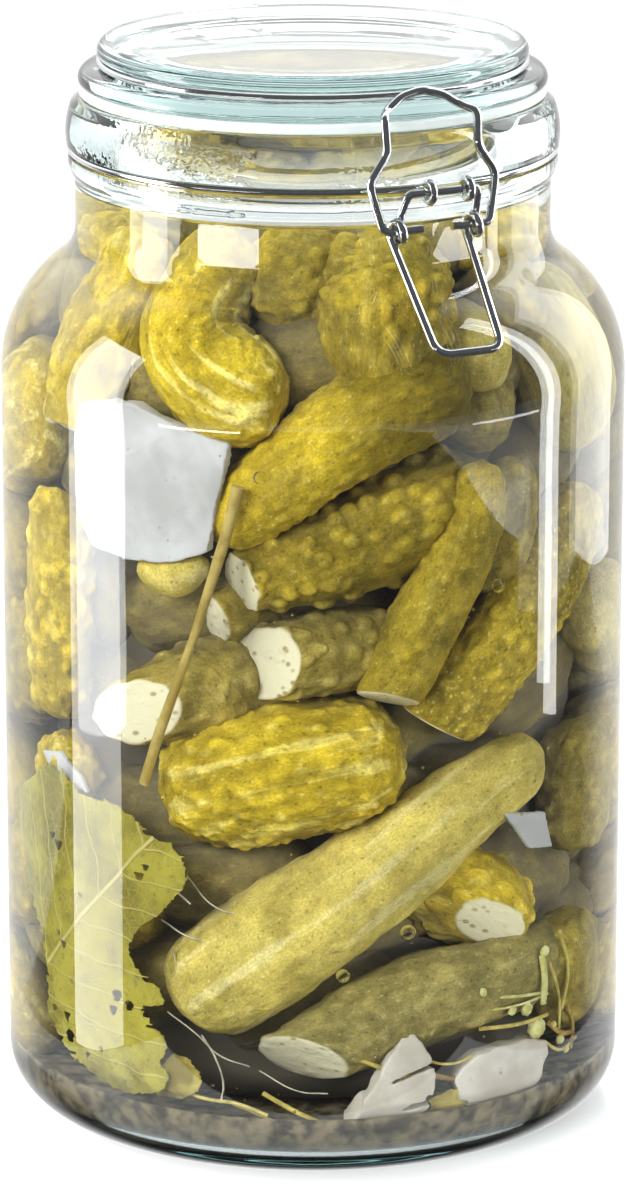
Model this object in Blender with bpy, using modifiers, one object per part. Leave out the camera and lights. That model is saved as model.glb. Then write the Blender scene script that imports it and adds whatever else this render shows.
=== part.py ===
"""A five-litre swing-top preserving jar filled with pickled gherkins.

Pieces: the glass jar, the glass lid with its seal, the two wires that circle the neck and the lid,
the bail and its lever, and inside the jar the heap of gherkins, a leaf, a dill stem and onion pieces.

The frame: the jar stands on z = 0 with its axis on Z, the clasp is at -Y and the lid's hinge at +Y.
Driving dimensions are in millimetres. A place inside the jar is given as a bearing in degrees from
the clasp (positive towards +X), a height and a distance from the axis.
"""
import math
import random

import bpy
import bmesh
from mathutils import Matrix, Vector

MM = 0.001
GAP = 0.3               # clearance between pieces that touch
TURNS = 40              # facets round every turned piece

# ---- jar -------------------------------------------------------------------------------------
BODY_RADIUS = 87.5
FOOT_CORNER = 15.0      # radius of the rounded edge at the foot
WALL = 4.5
FLOOR_EDGE = 7.0        # glass thickness of the floor at its edge
FLOOR_CENTRE = 11.0     # the floor rises to this thickness in the middle
SHOULDER_HEIGHT = 212.0
SHOULDER_ARC = 39.5     # convex arc from the wall into the shoulder
NECK_ARC = 12.0         # concave arc from the shoulder into the neck
NECK_RADIUS = 66.3
NECK_BORE = 58.5
MOUTH_BORE = 57.5
BEAD_RADIUS = 68.75     # the swelling below the rim
BEAD_HEIGHT = 279.5
BEAD_ARC = 22.0
LOWER_ROLL_RADIUS = 68.2
LOWER_ROLL_HEIGHT = 272.5
LOWER_ROLL_ARC = 8.0
RIM_HEIGHT = 290.0

# ---- lid and seal ----------------------------------------------------------------------------
SEAL_THICKNESS = 2.6
SEAL_RADIUS = 65.0
FLANGE_BOTTOM = RIM_HEIGHT + 2 * GAP + SEAL_THICKNESS
FLANGE_RADIUS = 65.2
PLUG_RADIUS = 55.5
PLUG_BOTTOM = 286.4
GROOVE_RADIUS = 57.5
DISC_RADIUS = 59.9
LID_TOP = 305.0

# ---- wires -----------------------------------------------------------------------------------
RING_WIRE = 1.1         # radius of the wires that circle the neck and the lid
CLASP_WIRE = 1.2        # radius of the bail's and the lever's wire
NECK_WIRE_HEIGHT = 275.2
NECK_WIRE_RADIUS = 67.3
LID_WIRE_HEIGHT = 299.2
LID_WIRE_RADIUS = GROOVE_RADIUS + GAP + RING_WIRE
HINGE_Y = 73.8          # the lid's hinge pin, behind the neck
HINGE_HEIGHT = 282.5
HINGE_HALF_WIDTH = 12.6
HINGE_LOOP_X = 9.0
LEVER_AXIS_Y = -72.6    # the lever's bar, which turns in the neck wire's two eyes
LEVER_AXIS_HEIGHT = 275.0
EYE_PLACES = (-2.0, 9.5)
BAIL_AXIS_Y = -73.2     # the bail's stubs, which turn in the lever's two coils
BAIL_AXIS_HEIGHT = 265.3
COIL_PITCH = 2.7
HANDLE_LENGTH = 36.0
HANDLE_ANGLE = -51.0    # the handle's slope, down and away from the glass

# ---- contents --------------------------------------------------------------------------------
BRINE_LEVEL = 262.0
CONTENTS_GAP = 0.5      # between the contents and the glass
CORE_PROFILE = ((0, 252), (34, 250), (48, 238), (58, 205), (60, 40), (54, 14), (0, 12))
GHERKIN_SIDES = 7
GHERKIN_RINGS = 6

# Each gherkin: its two ends as (bearing, height, distance from the axis), its diameter, how far its
# middle bows upward, and whether its ends are cut off (start, end).
GHERKINS = (
    ("ribbed_curl_top", (-51, 258, 60), (-60, 232, 69), 24, 3, (False, False)),
    ("ribbed_curl_foot", (-61, 234, 68), (-31, 213, 68), 25, -8, (False, True)),
    ("dark_smooth", (-50, 184, 62), (11, 221, 67), 28, 2, (False, False)),
    ("warty", (-45, 165, 64), (15, 203, 66), 25, 2, (True, False)),
    ("cut_middle", (-39, 142, 60), (-3, 151, 56), 27, 0, (True, False)),
    ("slim", (-11, 136, 71), (21, 197, 71), 22, 2, (True, False)),
    ("speckled", (5, 124, 62), (60, 180, 66), 29, 2, (True, False)),
    ("cut_left", (-70, 127, 64), (-40, 138, 54), 25, 0, (True, False)),
    ("cut_small", (-53, 158, 56), (-25, 163, 50), 18, 0, (True, False)),
    ("barrel", (-66, 103, 62), (-3, 120, 62), 42, 2, (False, False)),
    ("long_club", (-52, 50, 66), (25, 113, 69), 35, 0, (False, False)),
    ("lowest", (-28, 30, 66), (40, 60, 62), 26, 0, (True, False)),
    ("bumpy_short", (20, 63, 66), (4, 86, 58), 27, 0, (True, False)),
    ("warty_top", (-6, 258, 44), (-10, 215, 58), 36, 0, (False, False)),
    ("behind_top", (-38, 256, 42), (-33, 228, 52), 26, 0, (False, False)),
    ("top_left", (-74, 256, 56), (-83, 206, 70), 27, 0, (False, True)),
    ("upright_left", (-95, 190, 70), (-96, 118, 70), 25, 0, (False, False)),
    ("small_left", (-84, 116, 70), (-100, 98, 66), 21, 0, (False, False)),
    ("leaning_right", (22, 240, 52), (44, 196, 66), 28, 0, (False, False)),
    ("pale_end_right", (14, 229, 67), (34, 214, 60), 19, 0, (True, False)),
    ("large_right", (58, 232, 58), (66, 160, 66), 34, 0, (False, False)),
    ("short_right", (52, 150, 66), (78, 128, 64), 28, 0, (False, False)),
    ("low_right", (44, 104, 66), (74, 74, 66), 30, 0, (False, False)),
    ("foot_right", (48, 42, 66), (84, 28, 66), 27, 0, (False, False)),
    ("foot_left", (-72, 34, 62), (-38, 22, 62), 28, 0, (False, False)),
    ("under_leaf", (-100, 74, 64), (-62, 66, 60), 30, 0, (False, False)),
)
BACK_SEED = 7
BACK_BEARINGS = range(100, 250, 36)
BACK_HEIGHTS = (34, 86, 138, 190)

LEAF_BEARING = -75.0
LEAF_HEIGHT = 60.0
LEAF_HALF_WIDTH = 22.0  # degrees round the wall
LEAF_HALF_LENGTH = 38.0
LEAF_DISTANCE = 80.4
LEAF_THICKNESS = 0.9
LEAF_WAVE = 0.7
STEM_RADIUS = 1.7
STEM_TOP = (-41.0, 197.0, 80.2)
STEM_FOOT = (-61.0, 111.5, 80.2)
# Each onion piece: bearing, height, distance, then width, depth and length, and its lean in degrees.
ONION_PIECES = (
    ("onion_wedge_1", (-12.5, 25.0, 74.5), (21.0, 9.0, 30.0), 16.0),
    ("onion_wedge_2", (14.5, 20.0, 74.0), (27.0, 10.0, 20.0), -12.0),
)
SLICE_PLACE = (-57.0, 188.0, 72.4)
SLICE_SIZE = (33.0, 8.0, 36.0)
SLICE_LEAN = -8.0


# ---- helpers ---------------------------------------------------------------------------------
def collection(name):
    made = bpy.data.collections.new(name)
    bpy.context.scene.collection.children.link(made)
    return made


def material(name, colour, roughness, metallic=0.0, alpha=1.0):
    made = bpy.data.materials.new(name)
    made.use_nodes = True
    shader = made.node_tree.nodes["Principled BSDF"]
    shader.inputs["Base Color"].default_value = (*colour, 1.0)
    shader.inputs["Roughness"].default_value = roughness
    shader.inputs["Metallic"].default_value = metallic
    shader.inputs["Alpha"].default_value = alpha
    return made


def place(bearing, height, distance):
    """A point in millimetres, from its bearing off the clasp, height and distance from the axis."""
    turn = math.radians(bearing)
    return Vector((distance * math.sin(turn), -distance * math.cos(turn), height))


def arc(centre, radius, start, end, count):
    """Points on a circular arc in the profile plane; the angles are in degrees."""
    points = []
    for step in range(count + 1):
        angle = math.radians(start + (end - start) * step / count)
        points.append((centre[0] + radius * math.cos(angle), centre[1] + radius * math.sin(angle)))
    return points


def finished_mesh(name, shape):
    """The bmesh as a mesh whose faces all point outward."""
    bmesh.ops.recalc_face_normals(shape, faces=shape.faces)
    if shape.calc_volume(signed=True) < 0.0:
        bmesh.ops.reverse_faces(shape, faces=shape.faces)
    mesh = bpy.data.meshes.new(name)
    shape.to_mesh(mesh)
    shape.free()
    return mesh


def link(obj, home, finish=None, smooth=True):
    home.objects.link(obj)
    if finish:
        obj.data.materials.append(finish)
    if smooth and obj.type == "MESH":
        obj.data.shade_smooth()
        obj.data.set_sharp_from_angle(angle=math.radians(35))
    return obj


def turned(name, profile, home, finish=None):
    """A solid of revolution from a profile that runs down its outer side."""
    mesh = bpy.data.meshes.new(name)
    points = [(radius * MM, 0.0, height * MM) for radius, height in profile]
    edges = [(step, step + 1) for step in range(len(points) - 1)]
    closed = profile[0][0] > 0 or profile[-1][0] > 0
    if closed:
        edges.append((len(points) - 1, 0))
    mesh.from_pydata(points, edges, [])
    obj = link(bpy.data.objects.new(name, mesh), home, finish, smooth=False)
    screw = obj.modifiers.new("turn", "SCREW")
    screw.steps = TURNS
    screw.render_steps = TURNS
    screw.use_merge_vertices = True
    screw.merge_threshold = 0.00001
    screw.use_smooth_shade = True
    return obj


def wire(name, points, radius, home, finish, closed=False):
    """A bent wire through points in millimetres."""
    curve = bpy.data.curves.new(name, "CURVE")
    curve.dimensions = "3D"
    curve.bevel_depth = radius * MM
    curve.bevel_resolution = 2
    curve.use_fill_caps = True
    spline = curve.splines.new("POLY")
    spline.points.add(len(points) - 1)
    for slot, point in zip(spline.points, points):
        slot.co = (point[0] * MM, point[1] * MM, point[2] * MM, 1.0)
    spline.use_cyclic_u = closed
    return link(bpy.data.objects.new(name, curve), home, finish)


def rounded(points, radius, count=3, closed=False):
    """The same route with each corner replaced by a short curve that starts radius before it."""
    route = [Vector(point) for point in points]
    out = []
    total = len(route)
    for index, corner in enumerate(route):
        if not closed and index in (0, total - 1):
            out.append(corner)
            continue
        before = route[index - 1]
        after = route[(index + 1) % total]
        reach_in = min(radius, (before - corner).length * 0.45)
        reach_out = min(radius, (after - corner).length * 0.45)
        first = corner + (before - corner).normalized() * reach_in
        last = corner + (after - corner).normalized() * reach_out
        for step in range(count + 1):
            part = step / count
            out.append(first.lerp(corner, part).lerp(corner.lerp(last, part), part))
    return out


def ring_points(radius, height, start, end, count):
    return [place(start + (end - start) * step / count, height, radius) for step in range(count + 1)]


def loop_points(axis, radius, start, end, from_x, to_x, count):
    """A turn of wire round an axis along X: axis is (y, z), angles run from +Y towards +Z."""
    points = []
    for step in range(count + 1):
        part = step / count
        angle = math.radians(start + (end - start) * part)
        points.append(Vector((from_x + (to_x - from_x) * part,
                              axis[0] + radius * math.cos(angle),
                              axis[1] + radius * math.sin(angle))))
    return points


def as_mesh(obj):
    """The finished shape of an object as a plain mesh object in the same place."""
    graph = bpy.context.evaluated_depsgraph_get()
    mesh = bpy.data.meshes.new_from_object(obj.evaluated_get(graph))
    work = bmesh.new()
    work.from_mesh(mesh)
    bmesh.ops.remove_doubles(work, verts=work.verts, dist=0.000005)
    bmesh.ops.triangulate(work, faces=work.faces)
    work.to_mesh(mesh)
    work.free()
    made = bpy.data.objects.new(obj.name + "_solid", mesh)
    made.matrix_world = obj.matrix_world
    return made


def combine(target, other, operation, solver="MANIFOLD"):
    """Apply one Boolean on target; other is an object or a collection."""
    step = target.modifiers.new(operation.lower(), "BOOLEAN")
    step.operation = operation
    step.solver = solver
    if isinstance(other, bpy.types.Collection):
        step.operand_type = "COLLECTION"
        step.collection = other
    else:
        step.object = other
    with bpy.context.temp_override(object=target, active_object=target):
        bpy.ops.object.modifier_apply(modifier=step.name)


def keep_outer_skin(obj):
    """Fill sealed hollows and drop loose scraps: only the largest connected skin is kept."""
    work = bmesh.new()
    work.from_mesh(obj.data)
    waiting = set(work.faces)
    skins = []
    while waiting:
        stack = [waiting.pop()]
        skin = []
        while stack:
            face = stack.pop()
            skin.append(face)
            for edge in face.edges:
                for other in edge.link_faces:
                    if other in waiting:
                        waiting.remove(other)
                        stack.append(other)
        skins.append(skin)
    skins.sort(key=len, reverse=True)
    spare = [face for skin in skins[1:] for face in skin]
    bmesh.ops.delete(work, geom=spare, context="FACES")
    work.to_mesh(obj.data)
    work.free()


def as_cutter(obj):
    obj.hide_render = True
    obj.display_type = "WIRE"
    return obj


# ---- jar, lid and seal -----------------------------------------------------------------------
def neck_arc_height():
    """The height where the shoulder's two arcs let the neck start straight up."""
    reach = (NECK_ARC + SHOULDER_ARC) ** 2
    across = (NECK_ARC + NECK_RADIUS - (BODY_RADIUS - SHOULDER_ARC)) ** 2
    return SHOULDER_HEIGHT + math.sqrt(reach - across)


def shoulder(offset, count):
    """The shoulder from the neck down to the wall, moved inward by offset."""
    top = neck_arc_height()
    outer = (NECK_RADIUS + NECK_ARC, top)
    inner = (BODY_RADIUS - SHOULDER_ARC, SHOULDER_HEIGHT)
    meet = math.degrees(math.atan2(outer[1] - inner[1], outer[0] - inner[0]))
    concave = arc(outer, NECK_ARC + offset, 180, 180 + meet, count)
    convex = arc(inner, SHOULDER_ARC - offset, meet, 0, count + 2)
    return concave + convex[1:]


def inner_profile(gap):
    """The jar's inside from its mouth down to the middle of its floor, moved inward by gap."""
    wall = BODY_RADIUS - WALL - gap
    corner = 11.0 - gap
    floor = FLOOR_EDGE + gap
    points = [(MOUTH_BORE - gap, RIM_HEIGHT - 1.0), (MOUTH_BORE - gap, 280.0), (NECK_BORE - gap, 268.0)]
    points += shoulder(WALL + gap, 3)
    points += arc((wall - corner, floor + corner), corner, 0, -90, 3)
    points += [(40.0, FLOOR_EDGE + 2.0 + gap), (0.0, FLOOR_CENTRE + gap)]
    return points


def make_jar(home, glass):
    outer = arc((BEAD_RADIUS - BEAD_ARC, BEAD_HEIGHT), BEAD_ARC, 26.0, -7.5, 4)
    notch = NECK_WIRE_RADIUS - RING_WIRE - GAP
    reach = RING_WIRE + GAP
    outer += [(notch, NECK_WIRE_HEIGHT + reach), (notch, NECK_WIRE_HEIGHT - reach)]
    roll_centre = (LOWER_ROLL_RADIUS - LOWER_ROLL_ARC, LOWER_ROLL_HEIGHT)
    outer += arc(roll_centre, LOWER_ROLL_ARC, 8.0, -40.0, 3)
    outer += shoulder(0.0, 4)
    outer += arc((BODY_RADIUS - FOOT_CORNER, FOOT_CORNER), FOOT_CORNER, 0, -90, 5)
    outer += [(0.0, 0.0)]
    rim = [(MOUTH_BORE + 1.0, RIM_HEIGHT), (BEAD_RADIUS - 3.4, RIM_HEIGHT)]
    profile = list(reversed(inner_profile(0.0))) + rim + outer
    return turned("jar", profile, home, glass)


def make_lid(home, glass):
    disc = [(0.0, LID_TOP - 0.5), (DISC_RADIUS - 12.9, LID_TOP - 0.5), (DISC_RADIUS - 11.9, LID_TOP),
            (DISC_RADIUS - 8.4, LID_TOP), (DISC_RADIUS - 4.3, LID_TOP - 0.5),
            (DISC_RADIUS - 1.5, LID_TOP - 1.3), (DISC_RADIUS, LID_TOP - 2.6),
            (DISC_RADIUS - 0.2, LID_TOP - 3.8)]
    reach = RING_WIRE + GAP
    groove = [(DISC_RADIUS - 1.1, LID_WIRE_HEIGHT + reach), (GROOVE_RADIUS, LID_WIRE_HEIGHT + reach),
              (GROOVE_RADIUS, LID_WIRE_HEIGHT - reach), (61.0, LID_WIRE_HEIGHT - reach)]
    flange = [(62.9, 297.0), (64.5, 295.5), (FLANGE_RADIUS, 294.0), (64.8, FLANGE_BOTTOM),
              (PLUG_RADIUS, FLANGE_BOTTOM)]
    plug = [(PLUG_RADIUS, PLUG_BOTTOM + 1.0), (PLUG_RADIUS - 1.4, PLUG_BOTTOM), (0.0, PLUG_BOTTOM)]
    return turned("lid", disc + groove + flange + plug, home, glass)


def make_seal(home, silicone):
    low = RIM_HEIGHT + GAP
    high = low + SEAL_THICKNESS
    inner = PLUG_RADIUS + GAP + 0.2
    profile = [(inner, high), (SEAL_RADIUS - 0.5, high), (SEAL_RADIUS, high - 0.6),
               (SEAL_RADIUS, low + 0.6), (SEAL_RADIUS - 0.5, low), (inner, low)]
    return turned("gasket", profile, home, silicone)


# ---- wires -----------------------------------------------------------------------------------
def make_neck_wire(home, steel):
    """An open ring under the bead: an eye at each front end, and two hinge loops at the back."""
    eye = RING_WIRE + GAP + CLASP_WIRE
    axis = (LEVER_AXIS_Y, LEVER_AXIS_HEIGHT)
    hinge = (HINGE_Y, HINGE_HEIGHT)
    loop = RING_WIRE * 2 + GAP
    left_eye = loop_points(axis, eye, -30, -330, EYE_PLACES[0], EYE_PLACES[0], 10)
    right_eye = loop_points(axis, eye, 30, 330, EYE_PLACES[1], EYE_PLACES[1], 10)
    left_turn = math.degrees(math.asin((EYE_PLACES[0] - 3.0) / NECK_WIRE_RADIUS))
    right_turn = math.degrees(math.asin((EYE_PLACES[1] + 3.0) / NECK_WIRE_RADIUS))
    back = 180.0 - math.degrees(math.asin(HINGE_LOOP_X / NECK_WIRE_RADIUS))
    left_ring = ring_points(NECK_WIRE_RADIUS, NECK_WIRE_HEIGHT, left_turn, -back, 17)
    right_ring = ring_points(NECK_WIRE_RADIUS, NECK_WIRE_HEIGHT, back, right_turn, 16)
    inner_x = HINGE_LOOP_X - RING_WIRE * 2 - 0.4
    left_rise = [Vector((-HINGE_LOOP_X, 70.9, NECK_WIRE_HEIGHT + 0.2))]
    right_rise = [Vector((HINGE_LOOP_X, 70.9, NECK_WIRE_HEIGHT + 0.2))]
    left_loop = loop_points(hinge, loop, -58, 185, -HINGE_LOOP_X, -inner_x, 9)
    right_loop = loop_points(hinge, loop, 185, -58, inner_x, HINGE_LOOP_X, 9)
    cross = [Vector((-inner_x + 0.8, HINGE_Y - loop, HINGE_HEIGHT - 1.6)),
             Vector((inner_x - 0.8, HINGE_Y - loop, HINGE_HEIGHT - 1.6))]
    points = left_eye + left_ring + left_rise + left_loop + cross
    points += right_loop + right_rise + right_ring + right_eye
    return wire("neck_wire", points, RING_WIRE, home, steel)


def make_lid_wire(home, steel):
    """A ring in the lid's groove whose back is bent down into the hinge pin."""
    back = 180.0 - math.degrees(math.asin(HINGE_HALF_WIDTH / LID_WIRE_RADIUS))
    ring = ring_points(LID_WIRE_RADIUS, LID_WIRE_HEIGHT, back, -back, 34)
    arm = [(60.6, LID_WIRE_HEIGHT + 0.2), (66.0, LID_WIRE_HEIGHT - 0.6), (71.6, 292.6),
           (HINGE_Y, 287.0), (HINGE_Y, HINGE_HEIGHT)]
    left = [Vector((-HINGE_HALF_WIDTH, across, height)) for across, height in arm]
    right = [Vector((HINGE_HALF_WIDTH, across, height)) for across, height in reversed(arm)]
    bent = rounded([ring[-1]] + left + right + [ring[0]], 1.8, 2)
    return wire("lid_wire", ring[:-1] + bent[:-1], RING_WIRE, home, steel, closed=True)


def handle_place(distance, across):
    """A point on the lever's handle, at a distance down it from the coils."""
    angle = math.radians(HANDLE_ANGLE)
    start = math.radians(HANDLE_ANGLE - 90.0)
    coil = CLASP_WIRE * 2 + GAP
    out = coil * math.cos(start) + distance * math.cos(angle)
    up = coil * math.sin(start) + distance * math.sin(angle)
    return Vector((across, BAIL_AXIS_Y - out, BAIL_AXIS_HEIGHT + up))


def make_lever(home, steel):
    """One closed wire: the bar in the eyes, two arms, two coils round the bail's stubs, the handle."""
    coil = CLASP_WIRE * 2 + GAP
    axis = (BAIL_AXIS_Y, BAIL_AXIS_HEIGHT)
    turn = 360.0 + HANDLE_ANGLE - 90.0 + 180.0
    shift = COIL_PITCH * turn / 360.0
    bar = [Vector((-8.2, LEVER_AXIS_Y, LEVER_AXIS_HEIGHT)),
           Vector((12.9, LEVER_AXIS_Y, LEVER_AXIS_HEIGHT))]
    right_x, left_x = 12.85, -10.15
    # the coils run down the glass side first, so the angle falls from 0, the side nearest the glass
    right_coil = loop_points(axis, coil, 0, -turn, right_x, right_x - shift, 15)
    left_coil = loop_points(axis, coil, 0, -turn, left_x, left_x - shift, 15)
    right_leg = right_coil[-1].x
    left_leg = left_coil[-1].x
    handle = rounded([right_coil[-1], handle_place(HANDLE_LENGTH, right_leg - 0.8),
                      handle_place(HANDLE_LENGTH, left_leg + 2.6), left_coil[-1]], 4.5, 4)
    top = rounded([left_coil[0], Vector((-9.6, LEVER_AXIS_Y + 1.4, 270.5)), *bar,
                   Vector((13.1, LEVER_AXIS_Y + 1.4, 270.5)), right_coil[0]], 1.6, 3)
    points = top[:-1] + right_coil + handle[1:-1] + list(reversed(left_coil))[:-1]
    return wire("lever", points, CLASP_WIRE, home, steel, closed=True)


def make_bail(home, steel):
    """The loop that clamps the lid: stubs in the coils, waisted legs, and an arched top bar."""
    half = [(4.5, -BAIL_AXIS_Y, BAIL_AXIS_HEIGHT), (16.0, -BAIL_AXIS_Y, BAIL_AXIS_HEIGHT),
            (18.8, 71.0, 276.6), (18.6, 70.9, 279.2), (13.7, 70.6, 286.0), (14.0, 69.7, 295.4),
            (11.2, 65.0, 296.4), (6.0, 64.0, 299.9), (0.0, 63.8, 301.2)]
    left = [Vector((-across, -out, height)) for across, out, height in half]
    right = [Vector((across, -out, height)) for across, out, height in reversed(half[:-1])]
    points = rounded(left + right, 2.0, 3)
    return wire("bail", points, CLASP_WIRE, home, steel)


# ---- contents --------------------------------------------------------------------------------
def gherkin(name, start, end, diameter, bow, cuts, home):
    """A closed blunt sausage along a bowed line, with a flat end where it is cut."""
    first = place(*start)
    last = place(*end)
    middle_out = (start[2] + end[2]) / 2.0 + 3.0
    middle = place((start[0] + end[0]) / 2.0, (start[1] + end[1]) / 2.0 + bow, middle_out)
    knee = middle * 2.0 - (first + last) / 2.0
    shape = bmesh.new()
    bmesh.ops.create_uvsphere(shape, u_segments=GHERKIN_SIDES, v_segments=GHERKIN_RINGS, radius=1.0)
    for vertex in shape.verts:
        height = max(-1.0, min(1.0, vertex.co.z))
        along = math.acos(-height) / math.pi
        turn = math.atan2(vertex.co.y, vertex.co.x)
        blunt = 7.0 if (cuts[0] and along < 0.5) or (cuts[1] and along > 0.5) else 3.2
        girth = (1.0 - abs(2.0 * along - 1.0) ** blunt) ** (1.0 / 2.2)
        centre = first.lerp(knee, along).lerp(knee.lerp(last, along), along)
        tangent = ((knee - first).lerp(last - knee, along)).normalized()
        side = tangent.cross(Vector((0, 0, 1))).normalized()
        lift = side.cross(tangent)
        offset = (side * math.cos(turn) + lift * math.sin(turn)) * girth * diameter / 2.0
        vertex.co = (centre + offset) * MM
    bmesh.ops.triangulate(shape, faces=shape.faces)
    return link(bpy.data.objects.new(name, finished_mesh(name, shape)), home, smooth=False)


def back_gherkins():
    """The gherkins on the far side of the heap: rows that lean one way and then the other."""
    draw = random.Random(BACK_SEED)
    rows = []
    for row, height in enumerate(BACK_HEIGHTS):
        for bearing in BACK_BEARINGS:
            lean = draw.uniform(8, 20) * (1 if row % 2 else -1)
            centre = bearing + draw.uniform(-6, 6) + row % 2 * 14
            middle = height + draw.uniform(-5, 5)
            size = draw.uniform(30, 38)
            distance = BODY_RADIUS - WALL - size / 2.0 - 1.0
            reach = draw.uniform(17, 25)
            name = f"back_{row}_{bearing}"
            rows.append((name, (centre - reach, middle - lean, distance),
                         (centre + reach, middle + lean, distance), size, 0, (False, False)))
    return rows


def make_pickles(home, cutters, flesh, neighbours):
    """The heap: a core with the gherkins fused on, kept off the glass and off the loose pieces."""
    pieces = bpy.data.collections.new("gherkins")
    bpy.context.scene.collection.children.link(pieces)
    for row in GHERKINS + tuple(back_gherkins()):
        gherkin(*row, pieces)
    core = turned("pickles", CORE_PROFILE, home)
    heap = as_mesh(core)
    bpy.data.objects.remove(core)
    heap.name = "pickles"
    link(heap, home, flesh, smooth=False)
    for piece in list(pieces.objects):
        combine(heap, piece, "UNION")
        bpy.data.objects.remove(piece)
    bpy.data.collections.remove(pieces)
    below = [point for point in inner_profile(CONTENTS_GAP) if point[1] < BRINE_LEVEL - 1.0]
    space = as_cutter(turned("brine_space", [(0.0, BRINE_LEVEL - 1.0), (NECK_BORE - CONTENTS_GAP,
                      BRINE_LEVEL - 1.0)] + below, cutters))
    combine(heap, space, "INTERSECT")
    for other in neighbours:
        combine(heap, other, "DIFFERENCE")
    keep_outer_skin(heap)
    return heap


def leaf_mesh(name, swell):
    """The leaf as a grid laid on the wall; swell widens it into the room it needs."""
    shape = bmesh.new()
    bmesh.ops.create_grid(shape, x_segments=9, y_segments=10, size=1.0)
    bmesh.ops.triangulate(shape, faces=shape.faces)
    for vertex in shape.verts:
        across, along = vertex.co.x, vertex.co.y
        width = (1.0 - 0.55 * abs(along) ** 2.6) * (1.0 + 0.07 * math.sin(along * 9.0))
        lift = 0.10 * math.sin(across * 4.0 + 1.0) * (1.0 if along > 0 else 1.6)
        bearing = LEAF_BEARING + across * width * LEAF_HALF_WIDTH * swell
        height = LEAF_HEIGHT + (along + lift * abs(along)) * LEAF_HALF_LENGTH * swell
        wave = LEAF_WAVE * math.sin(across * 5.0 + along * 3.0) if swell == 1.0 else 0.0
        tuck = 0.5 * max(0.0, 22.0 - height)
        vertex.co = place(bearing, height, LEAF_DISTANCE + wave - tuck) * MM
    return finished_mesh(name, shape)


def thicken(obj, thickness):
    solid = obj.modifiers.new("thickness", "SOLIDIFY")
    solid.thickness = thickness * MM
    solid.offset = 0.0
    return obj


def make_leaf(home, cutters, green):
    leaf = link(bpy.data.objects.new("leaf", leaf_mesh("leaf", 1.0)), home, green, smooth=False)
    thicken(leaf, LEAF_THICKNESS)
    room = as_cutter(link(bpy.data.objects.new("leaf_room", leaf_mesh("leaf_room", 1.06)), cutters,
                          smooth=False))
    thicken(room, 4.4)
    return leaf, room


def make_stem(home, cutters, stalk):
    steps = 12
    route = []
    for step in range(steps + 1):
        part = step / steps
        bow = 1.6 * math.sin(math.pi * part)
        route.append(place(STEM_TOP[0] + (STEM_FOOT[0] - STEM_TOP[0]) * part + bow,
                           STEM_TOP[1] + (STEM_FOOT[1] - STEM_TOP[1]) * part, STEM_TOP[2]))
    longer = [route[0] * 1.0 + (route[0] - route[1]) * 0.15] + route[1:-1]
    longer += [route[-1] + (route[-1] - route[-2]) * 0.15]
    stem = wire("dill_stem", route, STEM_RADIUS, home, stalk)
    room = wire("stem_room", longer, STEM_RADIUS + CONTENTS_GAP, cutters, stalk)
    solid = as_cutter(as_mesh(room))
    bpy.data.objects.remove(room)
    cutters.objects.link(solid)
    return stem, solid


def onion_mesh(name, size, swell):
    """A wedge cut from an onion: round below and drawn to a blunt point above."""
    shape = bmesh.new()
    bmesh.ops.create_uvsphere(shape, u_segments=12, v_segments=8, radius=0.5)
    for vertex in shape.verts:
        point = 1.0 - 0.55 * max(0.0, vertex.co.z * 2.0) ** 1.5
        vertex.co.x *= size[0] * point * swell * MM
        vertex.co.y *= size[1] * point * swell * MM
        vertex.co.z *= size[2] * swell * MM
    return finished_mesh(name, shape)


def slice_mesh(name, size, swell):
    """A thick slice of onion with rounded edges."""
    shape = bmesh.new()
    bmesh.ops.create_cube(shape, size=1.0)
    for vertex in shape.verts:
        taper = 0.86 if vertex.co.z < 0 else 1.0
        vertex.co.x *= (size[0] * taper + swell) * MM
        vertex.co.y *= (size[1] + swell) * MM
        vertex.co.z *= (size[2] + swell) * MM
    bmesh.ops.bevel(shape, geom=shape.edges[:], offset=2.6 * MM, segments=2, profile=0.5,
                    affect="EDGES", clamp_overlap=True)
    return finished_mesh(name, shape)


def stand(obj, where, lean):
    """Set a piece at its place in the jar, facing the wall and leaning by an angle."""
    facing = Matrix.Rotation(math.radians(where[0]), 4, "Z")
    leaning = Matrix.Rotation(math.radians(lean), 4, "Y")
    obj.matrix_world = Matrix.Translation(place(*where) * MM) @ facing @ leaning
    return obj


def make_onion(home, cutters, white):
    rooms = []
    for name, where, size, lean in ONION_PIECES:
        stand(link(bpy.data.objects.new(name, onion_mesh(name, size, 1.0)), home, white), where, lean)
        room = bpy.data.objects.new(name + "_room", onion_mesh(name + "_room", size, 1.09))
        rooms.append(stand(as_cutter(link(room, cutters, smooth=False)), where, lean))
    cut = bpy.data.objects.new("onion_slice", slice_mesh("onion_slice", SLICE_SIZE, 0.0))
    stand(link(cut, home, white), SLICE_PLACE, SLICE_LEAN)
    room = bpy.data.objects.new("slice_room", slice_mesh("slice_room", SLICE_SIZE, 2 * CONTENTS_GAP))
    rooms.append(stand(as_cutter(link(room, cutters, smooth=False)), SLICE_PLACE, SLICE_LEAN))
    return rooms


def joint_empty(name, spot, children, home):
    """An empty on a joint's axis that carries the pieces which turn about it."""
    pivot = bpy.data.objects.new(name, None)
    pivot.empty_display_size = 0.02
    pivot.location = Vector(spot) * MM
    home.objects.link(pivot)
    bpy.context.view_layer.update()
    for child in children:
        child.parent = pivot
        child.matrix_parent_inverse = pivot.matrix_world.inverted()
    return pivot


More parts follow.
